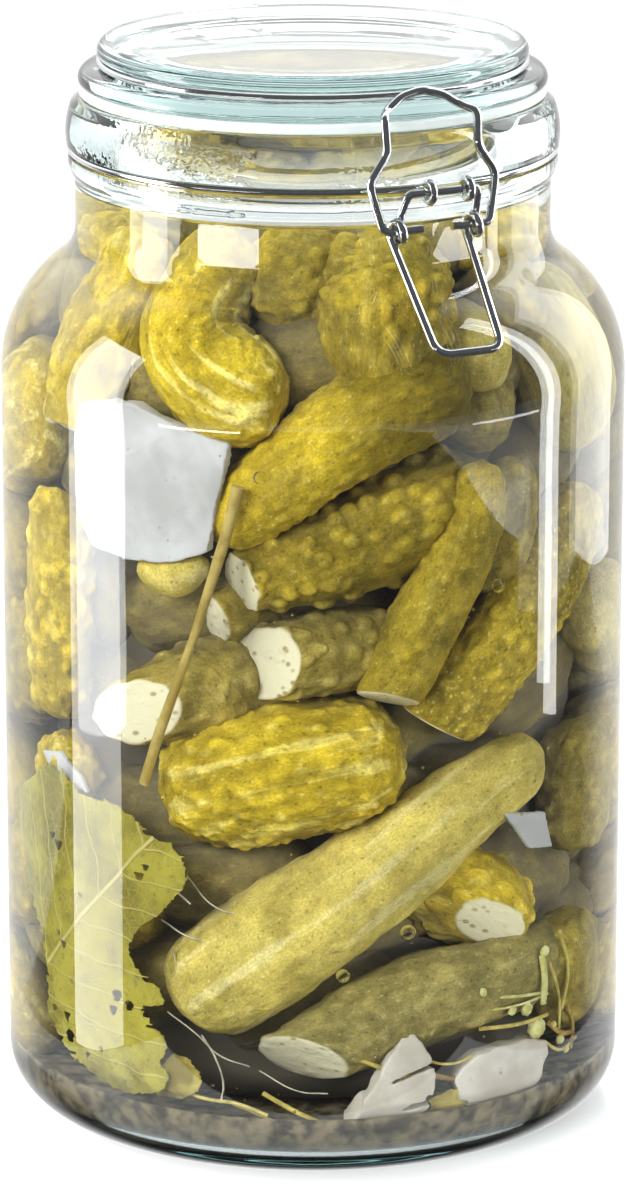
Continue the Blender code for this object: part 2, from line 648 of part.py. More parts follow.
def main():
    for old in list(bpy.data.objects):
        bpy.data.objects.remove(old)
    home = collection("swing_top_jar")
    cutters = collection("cutters")
    glass = material("clear_glass", (0.86, 0.93, 0.91), 0.03, alpha=0.35)
    silicone = material("clear_silicone", (0.80, 0.83, 0.82), 0.35)
    steel = material("bright_wire", (0.78, 0.79, 0.80), 0.18, metallic=1.0)
    flesh = material("gherkin_skin", (0.47, 0.43, 0.07), 0.35)
    green = material("leaf_green", (0.50, 0.47, 0.16), 0.5)
    stalk = material("stalk_brown", (0.48, 0.36, 0.12), 0.5)
    white = material("onion_white", (0.86, 0.87, 0.82), 0.4)

    make_jar(home, glass)
    lid = make_lid(home, glass)
    seal = make_seal(home, silicone)
    make_neck_wire(home, steel)
    lid_wire = make_lid_wire(home, steel)
    lever = make_lever(home, steel)
    bail = make_bail(home, steel)
    leaf, leaf_room = make_leaf(home, cutters, green)
    stem, stem_room = make_stem(home, cutters, stalk)
    rooms = make_onion(home, cutters, white)
    bpy.context.view_layer.update()
    make_pickles(home, cutters, flesh, [leaf_room, stem_room, *rooms])

    joint_empty("lid_hinge_axis", (0, HINGE_Y, HINGE_HEIGHT), [lid, seal, lid_wire], home)
    lever_axis = joint_empty("lever_axis", (0, LEVER_AXIS_Y, LEVER_AXIS_HEIGHT), [lever], home)
    bail_axis = joint_empty("bail_axis", (0, BAIL_AXIS_Y, BAIL_AXIS_HEIGHT), [bail], home)
    bail_axis.parent = lever_axis
    bail_axis.matrix_parent_inverse = lever_axis.matrix_world.inverted()


main()
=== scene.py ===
"""The looks of a swing-top preserving jar full of gherkins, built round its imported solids.

Sizes are in millimetres in the jar's own frame: the jar stands on z = 0 with its axis on Z, the clasp
is at -Y and the lid's hinge at +Y. A place inside the jar is a bearing in degrees from the clasp
(positive towards +X), a height, and a distance from the axis.
"""
import math
import random

import bpy
import numpy as np
from mathutils import Matrix, Vector


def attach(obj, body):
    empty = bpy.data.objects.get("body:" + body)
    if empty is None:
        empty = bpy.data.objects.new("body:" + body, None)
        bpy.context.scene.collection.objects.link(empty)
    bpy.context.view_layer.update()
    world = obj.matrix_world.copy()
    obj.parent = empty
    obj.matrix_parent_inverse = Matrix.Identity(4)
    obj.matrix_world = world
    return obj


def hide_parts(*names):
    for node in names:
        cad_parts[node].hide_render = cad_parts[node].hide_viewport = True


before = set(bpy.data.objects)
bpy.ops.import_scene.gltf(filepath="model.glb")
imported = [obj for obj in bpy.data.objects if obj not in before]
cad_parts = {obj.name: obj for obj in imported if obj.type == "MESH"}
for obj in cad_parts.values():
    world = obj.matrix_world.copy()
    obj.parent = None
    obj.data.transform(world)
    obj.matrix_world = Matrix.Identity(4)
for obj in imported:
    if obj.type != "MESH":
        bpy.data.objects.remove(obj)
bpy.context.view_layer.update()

MM = 0.001
GAP = 0.3                   # clearance between parts that touch or turn

# ---- view --------------------------------------------------------------------------------------
VIEW_BEARING = 27.0         # the camera stands to the left of the clasp by this angle
VIEW_DISTANCE = 1644.3      # from the jar's axis, along the floor
VIEW_HEIGHT = 600.6
VIEW_PITCH = 15.53          # degrees below the horizon
VIEW_OFF_AXIS = 0.0067      # degrees that the jar's axis stands left of the view's middle
LENS = 180.5

# ---- stage -------------------------------------------------------------------------------------
# Places here are seen from the camera: right of the jar's axis, away past it, and up.
FROM_LENS = ("camera", "diffuse", "transmission")
FROM_GLASS = ("camera", "glossy", "transmission")
LAMPS = (       # name, place, aim, width, height, power in watts, spread in degrees, what can't see it
    ("left_strip", (-462, -77, 190), (-60, -63, 190), 195, 620, 2.4, 180, ()),
    ("right_strip", (520, 10, 440), (65, -58, 440), 62, 900, 1.3, 180, ()),
    ("right_veil", (560, 330, 380), (75, -45, 380), 330, 760, 1.8, 180, ("diffuse",)),
    ("overhead", (-150, 250, 1300), (0, 0, 150), 1100, 1100, 17, 180, FROM_GLASS),
    ("front_fill", (-1050, -1250, 850), (0, 0, 150), 800, 800, 33, 180, FROM_GLASS),
    ("right_fill", (900, -900, 500), (0, 0, 150), 700, 900, 5, 180, FROM_GLASS),
    ("low_right_fill", (760, -860, 150), (58, -55, 60), 260, 150, 0.18, 26, FROM_GLASS),
    ("window_left", (-643, -766, 57), (0, 0, 57), 540, 26, 0.66, 180, FROM_LENS),
    ("window_right", (951, -309, 57), (0, 0, 57), 520, 26, 0.40, 180, FROM_LENS),
)
FLAGS = (       # name, left and right edge, near and far edge
    ("front_flag", -850, 720, -1500, -125),
    ("right_flag", 135, 620, -125, 330),
    ("left_flag", -650, -135, -125, 60),
)
FLAG_HEIGHT = 0.6
FLOOR_SIZE = 6.0            # metres
FLOOR_DROP = 0.0002         # metres below the jar's foot
FLOOR_GLOW = 0.25

# ---- jar ---------------------------------------------------------------------------------------
GLASS_STEPS = 128
BODY_RADIUS = 87.5
FOOT_CORNER = 15.0
WALL = 4.5
FLOOR_EDGE = 7.0
FLOOR_CENTRE = 11.0
SHOULDER_HEIGHT = 212.0
SHOULDER_ARC = 39.5
NECK_ARC = 12.0
NECK_RADIUS = 66.3
NECK_BORE = 58.5
MOUTH_BORE = 57.5
BEAD_RADIUS = 68.75
BEAD_HEIGHT = 279.5
BEAD_ARC = 22.0
LOWER_ROLL_RADIUS = 68.2
LOWER_ROLL_HEIGHT = 272.5
LOWER_ROLL_ARC = 8.0
RIM_HEIGHT = 290.0
JAR_TINT = 17.0             # how fast the glass gets greener with its thickness
LID_TINT = 9.0

# ---- lid and seal ------------------------------------------------------------------------------
SEAL_THICKNESS = 2.6
SEAL_RADIUS = 65.0
FLANGE_BOTTOM = RIM_HEIGHT + 2 * GAP + SEAL_THICKNESS
FLANGE_RADIUS = 65.2
PLUG_RADIUS = 55.5
PLUG_BOTTOM = 286.4
GROOVE_RADIUS = 57.5
DISC_RADIUS = 59.9
LID_TOP = 305.0

# ---- wires -------------------------------------------------------------------------------------
WIRE_SIDES = 4              # bevel resolution, for 12 sides
RING_WIRE = 1.1
CLASP_WIRE = 1.2
NECK_WIRE_HEIGHT = 275.2
NECK_WIRE_RADIUS = 67.3
LID_WIRE_HEIGHT = 299.2
LID_WIRE_RADIUS = GROOVE_RADIUS + GAP + RING_WIRE
HINGE_Y = 73.8
HINGE_HEIGHT = 282.5
HINGE_HALF_WIDTH = 12.6
HINGE_LOOP_X = 9.0
LEVER_AXIS_Y = -72.6
LEVER_AXIS_HEIGHT = 275.0
EYE_PLACES = (-2.0, 9.5)
BAIL_AXIS_Y = -73.2
BAIL_AXIS_HEIGHT = 265.3
COIL_PITCH = 2.7
HANDLE_LENGTH = 36.0
HANDLE_ANGLE = -51.0

# ---- contents ----------------------------------------------------------------------------------
BRINE_LEVEL = 263.7
BRINE_EDGE = 59.49          # the bore at the brine's level
BRINE_TINT = 2.5
WETTED = 0.3                # the brine reaches this far into the glass
CORE_PROFILE = ((0, 247), (28, 246), (42, 240), (50, 222), (53, 196), (53, 60), (50, 24), (42, 14),
                (0, 13.5))
DREGS_BED = ((0.0, 12.4), (25.0, 12.0), (50.0, 10.2), (66.0, 8.9), (72.0, 9.2), (76.5, 11.2),
             (79.5, 14.6), (81.3, 18.6))


# ---- small helpers -----------------------------------------------------------------------------
def place(bearing, height, distance):
    """A point in millimetres from its bearing off the clasp, its height and its distance out."""
    turn = math.radians(bearing)
    return Vector((distance * math.sin(turn), -distance * math.cos(turn), height))


def arc(centre, radius, start, end, count):
    """Points on a circular arc in a profile's plane, from one angle in degrees to another."""
    points = []
    for step in range(count + 1):
        angle = math.radians(start + (end - start) * step / count)
        points.append((centre[0] + radius * math.cos(angle), centre[1] + radius * math.sin(angle)))
    return points


def select_only(obj):
    """Leave edit mode, and make one object the only one selected."""
    if bpy.context.mode != "OBJECT":
        bpy.ops.object.mode_set(mode="OBJECT")
    bpy.ops.object.select_all(action="DESELECT")
    obj.select_set(True)
    bpy.context.view_layer.objects.active = obj


def apply_modifiers(obj):
    """Make every modifier of an object part of its mesh."""
    select_only(obj)
    for modifier in list(obj.modifiers):
        bpy.ops.object.modifier_apply(modifier=modifier.name)


def shade_smooth(obj, angle):
    """Shade an object smooth across edges flatter than an angle in degrees."""
    select_only(obj)
    bpy.ops.object.shade_smooth_by_angle(angle=math.radians(angle))


def soften(obj, levels):
    """Round an object off by subdividing it."""
    modifier = obj.modifiers.new("smooth", "SUBSURF")
    modifier.levels = levels
    modifier.render_levels = levels


def thicken(obj, thickness):
    """Give a sheet a thickness in millimetres, half to each side."""
    modifier = obj.modifiers.new("thickness", "SOLIDIFY")
    modifier.thickness = thickness * MM
    modifier.offset = 0.0


def settle(obj, finish, body, material_slot, *nodes):
    """Give a piece its finish, put it on its body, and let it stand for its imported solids."""
    obj.data.materials.append(finish)
    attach(obj, body)
    if nodes:
        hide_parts(*nodes)


def turned(name, profile, steps):
    """Draw a profile point by point, spin it round the jar's axis, and close its seam."""
    bpy.ops.object.select_all(action="DESELECT")
    bpy.ops.mesh.primitive_plane_add(size=0.001, location=(0, 0, 0))
    obj = bpy.context.object
    obj.name = name
    obj.data.name = name
    points = [Vector((radius * MM, 0.0, height * MM)) for radius, height in profile]
    bpy.ops.object.mode_set(mode="EDIT")
    bpy.ops.mesh.merge(type="CENTER")
    bpy.ops.transform.translate(value=points[0])
    for here, there in zip(points, points[1:]):
        bpy.ops.mesh.extrude_vertices_move(TRANSFORM_OT_translate={"value": there - here})
    bpy.ops.mesh.select_all(action="SELECT")
    bpy.ops.mesh.spin(steps=steps, angle=math.tau, center=(0, 0, 0), axis=(0, 0, 1))
    bpy.ops.mesh.select_all(action="SELECT")
    bpy.ops.mesh.remove_doubles(threshold=0.000002)
    bpy.ops.mesh.normals_make_consistent(inside=False)
    bpy.ops.object.mode_set(mode="OBJECT")
    return obj


def rounded(points, radius, count=8, closed=False):
    """The same route with each corner replaced by a curve that starts radius before it."""
    route = [Vector(point) for point in points]
    out = []
    total = len(route)
    for index, corner in enumerate(route):
        if not closed and index in (0, total - 1):
            out.append(corner)
            continue
        before = route[index - 1]
        after = route[(index + 1) % total]
        reach_in = min(radius, (before - corner).length * 0.45)
        reach_out = min(radius, (after - corner).length * 0.45)
        first = corner + (before - corner).normalized() * reach_in
        last = corner + (after - corner).normalized() * reach_out
        for step in range(count + 1):
            part = step / count
            out.append(first.lerp(corner, part).lerp(corner.lerp(last, part), part))
    return out


def ring_points(radius, height, start, end, count):
    """Places round the jar's axis, from one bearing to another."""
    return [place(start + (end - start) * step / count, height, radius) for step in range(count + 1)]


def loop_points(axis, radius, start, end, from_x, to_x, count):
    """A turn of wire round an axis along X; axis is (y, z) and angles run from +Y towards +Z."""
    points = []
    for step in range(count + 1):
        part = step / count
        angle = math.radians(start + (end - start) * part)
        points.append(Vector((from_x + (to_x - from_x) * part,
                              axis[0] + radius * math.cos(angle),
                              axis[1] + radius * math.sin(angle))))
    return points


def tube(name, points, radius, sides=WIRE_SIDES, closed=False, taper=None):
    """A round wire or stalk through points in millimetres, made a mesh; taper scales each point."""
    curve = bpy.data.curves.new(name, "CURVE")
    curve.dimensions = "3D"
    curve.bevel_depth = radius * MM
    curve.bevel_resolution = sides
    curve.use_fill_caps = True
    spline = curve.splines.new("POLY")
    spline.points.add(len(points) - 1)
    for index, (slot, point) in enumerate(zip(spline.points, points)):
        slot.co = (point[0] * MM, point[1] * MM, point[2] * MM, 1.0)
        if taper:
            slot.radius = taper[index]
    spline.use_cyclic_u = closed
    obj = bpy.data.objects.new(name, curve)
    bpy.context.scene.collection.objects.link(obj)
    select_only(obj)
    bpy.ops.object.convert(target="MESH")
    bpy.ops.object.mode_set(mode="EDIT")
    bpy.ops.mesh.select_all(action="SELECT")
    bpy.ops.mesh.remove_doubles(threshold=0.000002)
    bpy.ops.mesh.normals_make_consistent(inside=False)
    bpy.ops.object.mode_set(mode="OBJECT")
    obj = bpy.context.object
    shade_smooth(obj, 50)
    return obj


# ---- shader helpers ----------------------------------------------------------------------------
def new_material(name):
    """A material with its Principled shader, and its node tree."""
    material = bpy.data.materials.new(name)
    material.use_nodes = True
    return material, material.node_tree, material.node_tree.nodes["Principled BSDF"]


def add_node(tree, kind, **values):
    """A node of a kind; a value whose name is an input's sets that input, the rest are settings."""
    node = tree.nodes.new("ShaderNode" + kind)
    for name, value in values.items():
        words = name.replace("_", " ")
        found = [socket for socket in node.inputs if socket.name.lower() == words and socket.enabled]
        if found:
            found[0].default_value = value
        else:
            setattr(node, name, value)
    return node


def join(tree, output, target):
    tree.links.new(output, target)


def new_group(name, inputs, outputs):
    """A shader node group with named sockets, given as (kind, name, value) and (kind, name)."""
    tree = bpy.data.node_groups.new(name, "ShaderNodeTree")
    for kind, label, value in inputs:
        socket = tree.interface.new_socket(label, in_out="INPUT", socket_type="NodeSocket" + kind)
        if value is not None:
            socket.default_value = value
    for kind, label in outputs:
        tree.interface.new_socket(label, in_out="OUTPUT", socket_type="NodeSocket" + kind)
    return tree, tree.nodes.new("NodeGroupInput"), tree.nodes.new("NodeGroupOutput")


def use_group(tree, group, **values):
    """A shader node group placed in a tree, with its own values."""
    node = tree.nodes.new("ShaderNodeGroup")
    node.node_tree = group
    for name, value in values.items():
        node.inputs[name.replace("_", " ")].default_value = value
    return node


def math_node(tree, operation, first, second=None):
    """A Math node on two values, each a socket or a number; gives its output."""
    node = tree.nodes.new("ShaderNodeMath")
    node.operation = operation
    for slot, value in enumerate((first, second)):
        if value is None:
            continue
        if isinstance(value, bpy.types.NodeSocket):
            tree.links.new(value, node.inputs[slot])
        else:
            node.inputs[slot].default_value = value
    return node.outputs[0]


def mix_colours(tree, factor, first, second):
    """The mix of two colours, each a socket or a colour, by a factor socket or number."""
    node = tree.nodes.new("ShaderNodeMix")
    node.data_type = "RGBA"
    for label, value in (("Factor_Float", factor), ("A_Color", first), ("B_Color", second)):
        socket = next(item for item in node.inputs if item.identifier == label)
        if isinstance(value, bpy.types.NodeSocket):
            tree.links.new(value, socket)
        else:
            socket.default_value = value
    return next(item for item in node.outputs if item.identifier == "Result_Color")


def ramp(tree, factor, low, high):
    """Nought at low, one at high, and smooth between; low and high are sockets or numbers."""
    node = tree.nodes.new("ShaderNodeMapRange")
    node.interpolation_type = "SMOOTHSTEP"
    tree.links.new(factor, node.inputs["Value"])
    for label, value in (("From Min", low), ("From Max", high)):
        if isinstance(value, bpy.types.NodeSocket):
            tree.links.new(value, node.inputs[label])
        else:
            node.inputs[label].default_value = value
    return node.outputs["Result"]


def rgb(red, green, blue):
    return (red, green, blue, 1.0)


# ---- camera, light and floor -------------------------------------------------------------------
def from_view(side, depth, height):
    """A point in millimetres: right of the view, away from the camera past the jar, and up."""
    turn = math.radians(VIEW_BEARING)
    right = Vector((math.cos(turn), -math.sin(turn), 0))
    away = Vector((math.sin(turn), math.cos(turn), 0))
    return right * side + away * depth + Vector((0, 0, height))


def make_camera():
    """A camera on a level circle round the jar, looking down at it."""
    data = bpy.data.cameras.new("view")
    data.lens = LENS
    data.sensor_width = 36.0
    data.clip_start = 0.05
    data.clip_end = 50.0
    camera = bpy.data.objects.new("view", data)
    camera.location = from_view(0, -VIEW_DISTANCE, VIEW_HEIGHT) * MM
    turn = -math.radians(VIEW_BEARING + VIEW_OFF_AXIS)
    camera.rotation_euler = (math.radians(90 - VIEW_PITCH), 0, turn)
    bpy.context.scene.collection.objects.link(camera)
    bpy.context.scene.camera = camera


def make_lights():
    """Strips and windows that the glass mirrors, and soft light that only the contents see."""
    for name, where, aim, width, height, power, spread, unseen_by in LAMPS:
        data = bpy.data.lights.new(name, "AREA")
        data.shape = "RECTANGLE"
        data.size = width * MM
        data.size_y = height * MM
        data.energy = power
        data.spread = math.radians(spread)
        lamp = bpy.data.objects.new(name, data)
        start = from_view(*where)
        lamp.location = start * MM
        lamp.rotation_euler = (from_view(*aim) - start).to_track_quat("-Z", "Y").to_euler()
        bpy.context.scene.collection.objects.link(lamp)
        for kind in unseen_by:
            setattr(lamp, "visible_" + kind, False)


def make_world():
    """White behind the jar and dark in front, so that glass and bright wire have edges."""
    world = bpy.data.worlds.new("studio")
    world.use_nodes = True
    tree = world.node_tree
    background = tree.nodes["Background"]
    sky = add_node(tree, "TexCoord").outputs["Generated"]
    away = add_node(tree, "VectorMath", operation="DOT_PRODUCT")
    away.inputs[1].default_value = from_view(0, 1, 0)
    join(tree, sky, away.inputs[0])
    apart = add_node(tree, "SeparateXYZ")
    join(tree, sky, apart.inputs["Vector"])
    rays = add_node(tree, "LightPath")
    # Dark in front for the glass, but pale for the camera where another view turns that way.
    front = mix_colours(tree, rays.outputs["Is Camera Ray"], rgb(0.10, 0.105, 0.11), rgb(0.6, 0.6, 0.6))
    fade = ramp(tree, away.outputs["Value"], 0.05, 0.6)
    colour = mix_colours(tree, fade, front, rgb(1.0, 1.0, 1.0))
    upper = math_node(tree, "MULTIPLY", ramp(tree, apart.outputs["Z"], 0.10, 0.20), fade)
    colour = mix_colours(tree, upper, colour, rgb(1.6, 1.6, 1.6))
    # Mirrored in the glass, what lies below the horizon beside the jar is dark.
    below = math_node(tree, "SUBTRACT", 1.0, ramp(tree, apart.outputs["Z"], -0.10, -0.02))
    mirrored = math_node(tree, "MULTIPLY", below, rays.outputs["Is Glossy Ray"])
    beside = math_node(tree, "SUBTRACT", 1.0, ramp(tree, away.outputs["Value"], 0.40, 0.75))
    mirrored = math_node(tree, "MULTIPLY", mirrored, beside)
    colour = mix_colours(tree, mirrored, colour, rgb(0.07, 0.07, 0.075))
    join(tree, colour, background.inputs["Color"])
    strength = math_node(tree, "MULTIPLY", rays.outputs["Is Diffuse Ray"], -0.62)
    join(tree, math_node(tree, "ADD", strength, 1.05), background.inputs["Strength"])
    bpy.context.scene.world = world
    bpy.context.scene.view_settings.view_transform = "Standard"


def make_floor():
    """A pale floor with a faint glow of its own."""
    bpy.ops.object.select_all(action="DESELECT")
    bpy.ops.mesh.primitive_plane_add(size=FLOOR_SIZE, location=(0, 0, -FLOOR_DROP))
    floor = bpy.context.object
    floor.name = "floor"
    material, _, shader = new_material("floor_white")
    shader.inputs["Base Color"].default_value = rgb(0.90, 0.90, 0.90)
    shader.inputs["Roughness"].default_value = 0.16
    shader.inputs["Emission Color"].default_value = rgb(1, 1, 1)
    shader.inputs["Emission Strength"].default_value = FLOOR_GLOW
    floor.data.materials.append(material)
    floor.visible_glossy = False


def make_flags():
    """Black cards on the floor, which only the light that leaves the glass can see."""
    black, _, shader = new_material("flag_black")
    shader.inputs["Base Color"].default_value = rgb(0.03, 0.03, 0.03)
    shader.inputs["Roughness"].default_value = 0.9
    for name, left, right, near, far in FLAGS:
        bpy.ops.object.select_all(action="DESELECT")
        bpy.ops.mesh.primitive_plane_add(size=1.0, location=(0, 0, 0))
        flag = bpy.context.object
        flag.name = name
        for vertex in flag.data.vertices:
            side = left + (vertex.co.x + 0.5) * (right - left)
            depth = near + (vertex.co.y + 0.5) * (far - near)
            vertex.co = from_view(side, depth, FLAG_HEIGHT) * MM
        flag.data.materials.append(black)
        flag.visible_camera = False
        flag.visible_diffuse = False
        flag.visible_glossy = False
        flag.visible_shadow = False


# ---- finishes ----------------------------------------------------------------------------------
def clear_material(name, bending):
    """A clear smooth material with its index of refraction, which lets lamp light straight through."""
    material, tree, shader = new_material(name)
    shader.inputs["Base Color"].default_value = rgb(1, 1, 1)
    shader.inputs["Roughness"].default_value = 0.0
    shader.inputs["IOR"].default_value = bending
    shader.inputs["Transmission Weight"].default_value = 1.0
    clear_for_lamps(tree, shader)
    return material, tree, shader


def clear_for_lamps(tree, shader):
    """Let lamp light straight through, so that what is inside is lit."""
    rays = add_node(tree, "LightPath")
    straight = add_node(tree, "BsdfTransparent")
    mix = add_node(tree, "MixShader")
    join(tree, rays.outputs["Is Shadow Ray"], mix.inputs["Fac"])
    join(tree, shader.outputs["BSDF"], mix.inputs[1])
    join(tree, straight.outputs["BSDF"], mix.inputs[2])
    join(tree, mix.outputs["Shader"], tree.nodes["Material Output"].inputs["Surface"])


def tinted_inside(tree, colour, density):
    """Colour that deepens with the thickness of the clear material."""
    absorb = tree.nodes.new("ShaderNodeVolumeAbsorption")
    absorb.inputs["Color"].default_value = colour
    absorb.inputs["Density"].default_value = density
    join(tree, absorb.outputs["Volume"], tree.nodes["Material Output"].inputs["Volume"])


def glass_finish(name, density):
    """Pressed glass, faintly rippled, pitted in its bead, and sea-green where it is thick."""
    material, tree, shader = clear_material(name, 1.5)
    places = add_node(tree, "TexCoord")
    ripple = add_node(tree, "TexNoise", scale=38.0, detail=1.0, roughness=0.4)
    join(tree, places.outputs["Object"], ripple.inputs["Vector"])
    apart = add_node(tree, "SeparateXYZ")
    join(tree, places.outputs["Object"], apart.inputs["Vector"])
    in_bead = math_node(tree, "MULTIPLY", ramp(tree, apart.outputs["Z"], 0.268, 0.274),
                        math_node(tree, "SUBTRACT", 1.0, ramp(tree, apart.outputs["Z"], 0.286, 0.290)))
    patches = add_node(tree, "TexNoise", scale=22.0, detail=1.0)
    join(tree, places.outputs["Object"], patches.inputs["Vector"])
    in_patch = ramp(tree, patches.outputs["Fac"], 0.50, 0.62)
    pits = add_node(tree, "TexNoise", scale=260.0, detail=2.0, roughness=0.6)
    join(tree, places.outputs["Object"], pits.inputs["Vector"])
    where = math_node(tree, "MULTIPLY", in_bead, in_patch)
    pitted = math_node(tree, "MULTIPLY", where, pits.outputs["Fac"])
    height = math_node(tree, "ADD", ripple.outputs["Fac"], math_node(tree, "MULTIPLY", pitted, 8.0))
    bump = add_node(tree, "Bump", strength=0.05, distance=0.0008)
    join(tree, height, bump.inputs["Height"])
    join(tree, bump.outputs["Normal"], shader.inputs["Normal"])
    tinted_inside(tree, rgb(0.50, 0.76, 0.75), density)
    return material


def brine_finish():
    """Clear brine, barely yellow until it is deep."""
    material, tree, _ = clear_material("brine", 1.345)
    tinted_inside(tree, rgb(0.94, 0.92, 0.72), BRINE_TINT)
    return material


def bubble_finish():
    """Air in brine: a bright rim with clear brine behind it."""
    material, _, _ = clear_material("bubble_skin", 0.744)
    return material


def seal_finish():
    """Translucent pale silicone, faintly mottled."""
    material, tree, shader = new_material("clear_silicone")
    places = add_node(tree, "TexCoord")
    mottle = add_node(tree, "TexNoise", scale=220.0, detail=3.0)
    join(tree, places.outputs["Object"], mottle.inputs["Vector"])
    colour = mix_colours(tree, mottle.outputs["Fac"], rgb(0.66, 0.70, 0.69), rgb(0.80, 0.83, 0.82))
    join(tree, colour, shader.inputs["Base Color"])
    shader.inputs["Roughness"].default_value = 0.35
    shader.inputs["IOR"].default_value = 1.41
    shader.inputs["Transmission Weight"].default_value = 0.55
    clear_for_lamps(tree, shader)
    return material


def wire_finish():
    """Bright plated wire with fine drawn scratches."""
    material, tree, shader = new_material("bright_wire")
    places = add_node(tree, "TexCoord")
    grain = add_node(tree, "TexNoise", scale=900.0, detail=4.0)
    join(tree, places.outputs["Object"], grain.inputs["Vector"])
    colour = mix_colours(tree, grain.outputs["Fac"], rgb(0.62, 0.63, 0.64), rgb(0.80, 0.81, 0.82))
    join(tree, colour, shader.inputs["Base Color"])
    rough = math_node(tree, "MULTIPLY_ADD", grain.outputs["Fac"], 0.10)
    rough.node.inputs[2].default_value = 0.06
    join(tree, rough, shader.inputs["Roughness"])
    shader.inputs["Metallic"].default_value = 1.0
    return material


def murk_group():
    """Painted shade: colour fading into brown-grey away from the glass, into the heap's shaded middle,
    and less so near the brine's surface, where the light comes in.
    """
    tree, given, out = new_group("murk_with_depth", [
        ("Color", "Color", rgb(1, 1, 1)), ("Color", "Murk", rgb(0.118, 0.104, 0.088)),
        ("Float", "Clear Radius", 0.075), ("Float", "Murk Radius", 0.050), ("Float", "Most", 0.9)],
        [("Color", "Color")])
    places = add_node(tree, "TexCoord")
    flat = add_node(tree, "VectorMath", operation="MULTIPLY")
    flat.inputs[1].default_value = (1, 1, 0)
    join(tree, places.outputs["Object"], flat.inputs[0])
    reach = add_node(tree, "VectorMath", operation="LENGTH")
    join(tree, flat.outputs["Vector"], reach.inputs[0])
    # painted shade: the colour darkens towards the heap's middle, away from the glass
    fade = ramp(tree, reach.outputs["Value"], given.outputs["Clear Radius"], given.outputs["Murk Radius"])
    share = math_node(tree, "MULTIPLY", fade, given.outputs["Most"])
    apart = add_node(tree, "SeparateXYZ")
    join(tree, places.outputs["Object"], apart.inputs["Vector"])
    # less painted shade near the brine's surface, where the light comes in from above
    near_top = math_node(tree, "MULTIPLY", ramp(tree, apart.outputs["Z"], 0.236, 0.256), -0.6)
    share = math_node(tree, "MULTIPLY", share, math_node(tree, "ADD", near_top, 1.0))
    mixed = mix_colours(tree, share, given.outputs["Color"], given.outputs["Murk"])
    join(tree, mixed, out.inputs["Color"])
    return tree


def scaled(tree, colour, low, high, amount):
    """A colour made darker or brighter by an amount from 0 to 1."""
    node = add_node(tree, "VectorMath", operation="SCALE")
    join(tree, colour, node.inputs[0])
    spread = math_node(tree, "MULTIPLY", amount, high - low)
    join(tree, math_node(tree, "ADD", spread, low), node.inputs["Scale"])
    return node.outputs["Vector"]


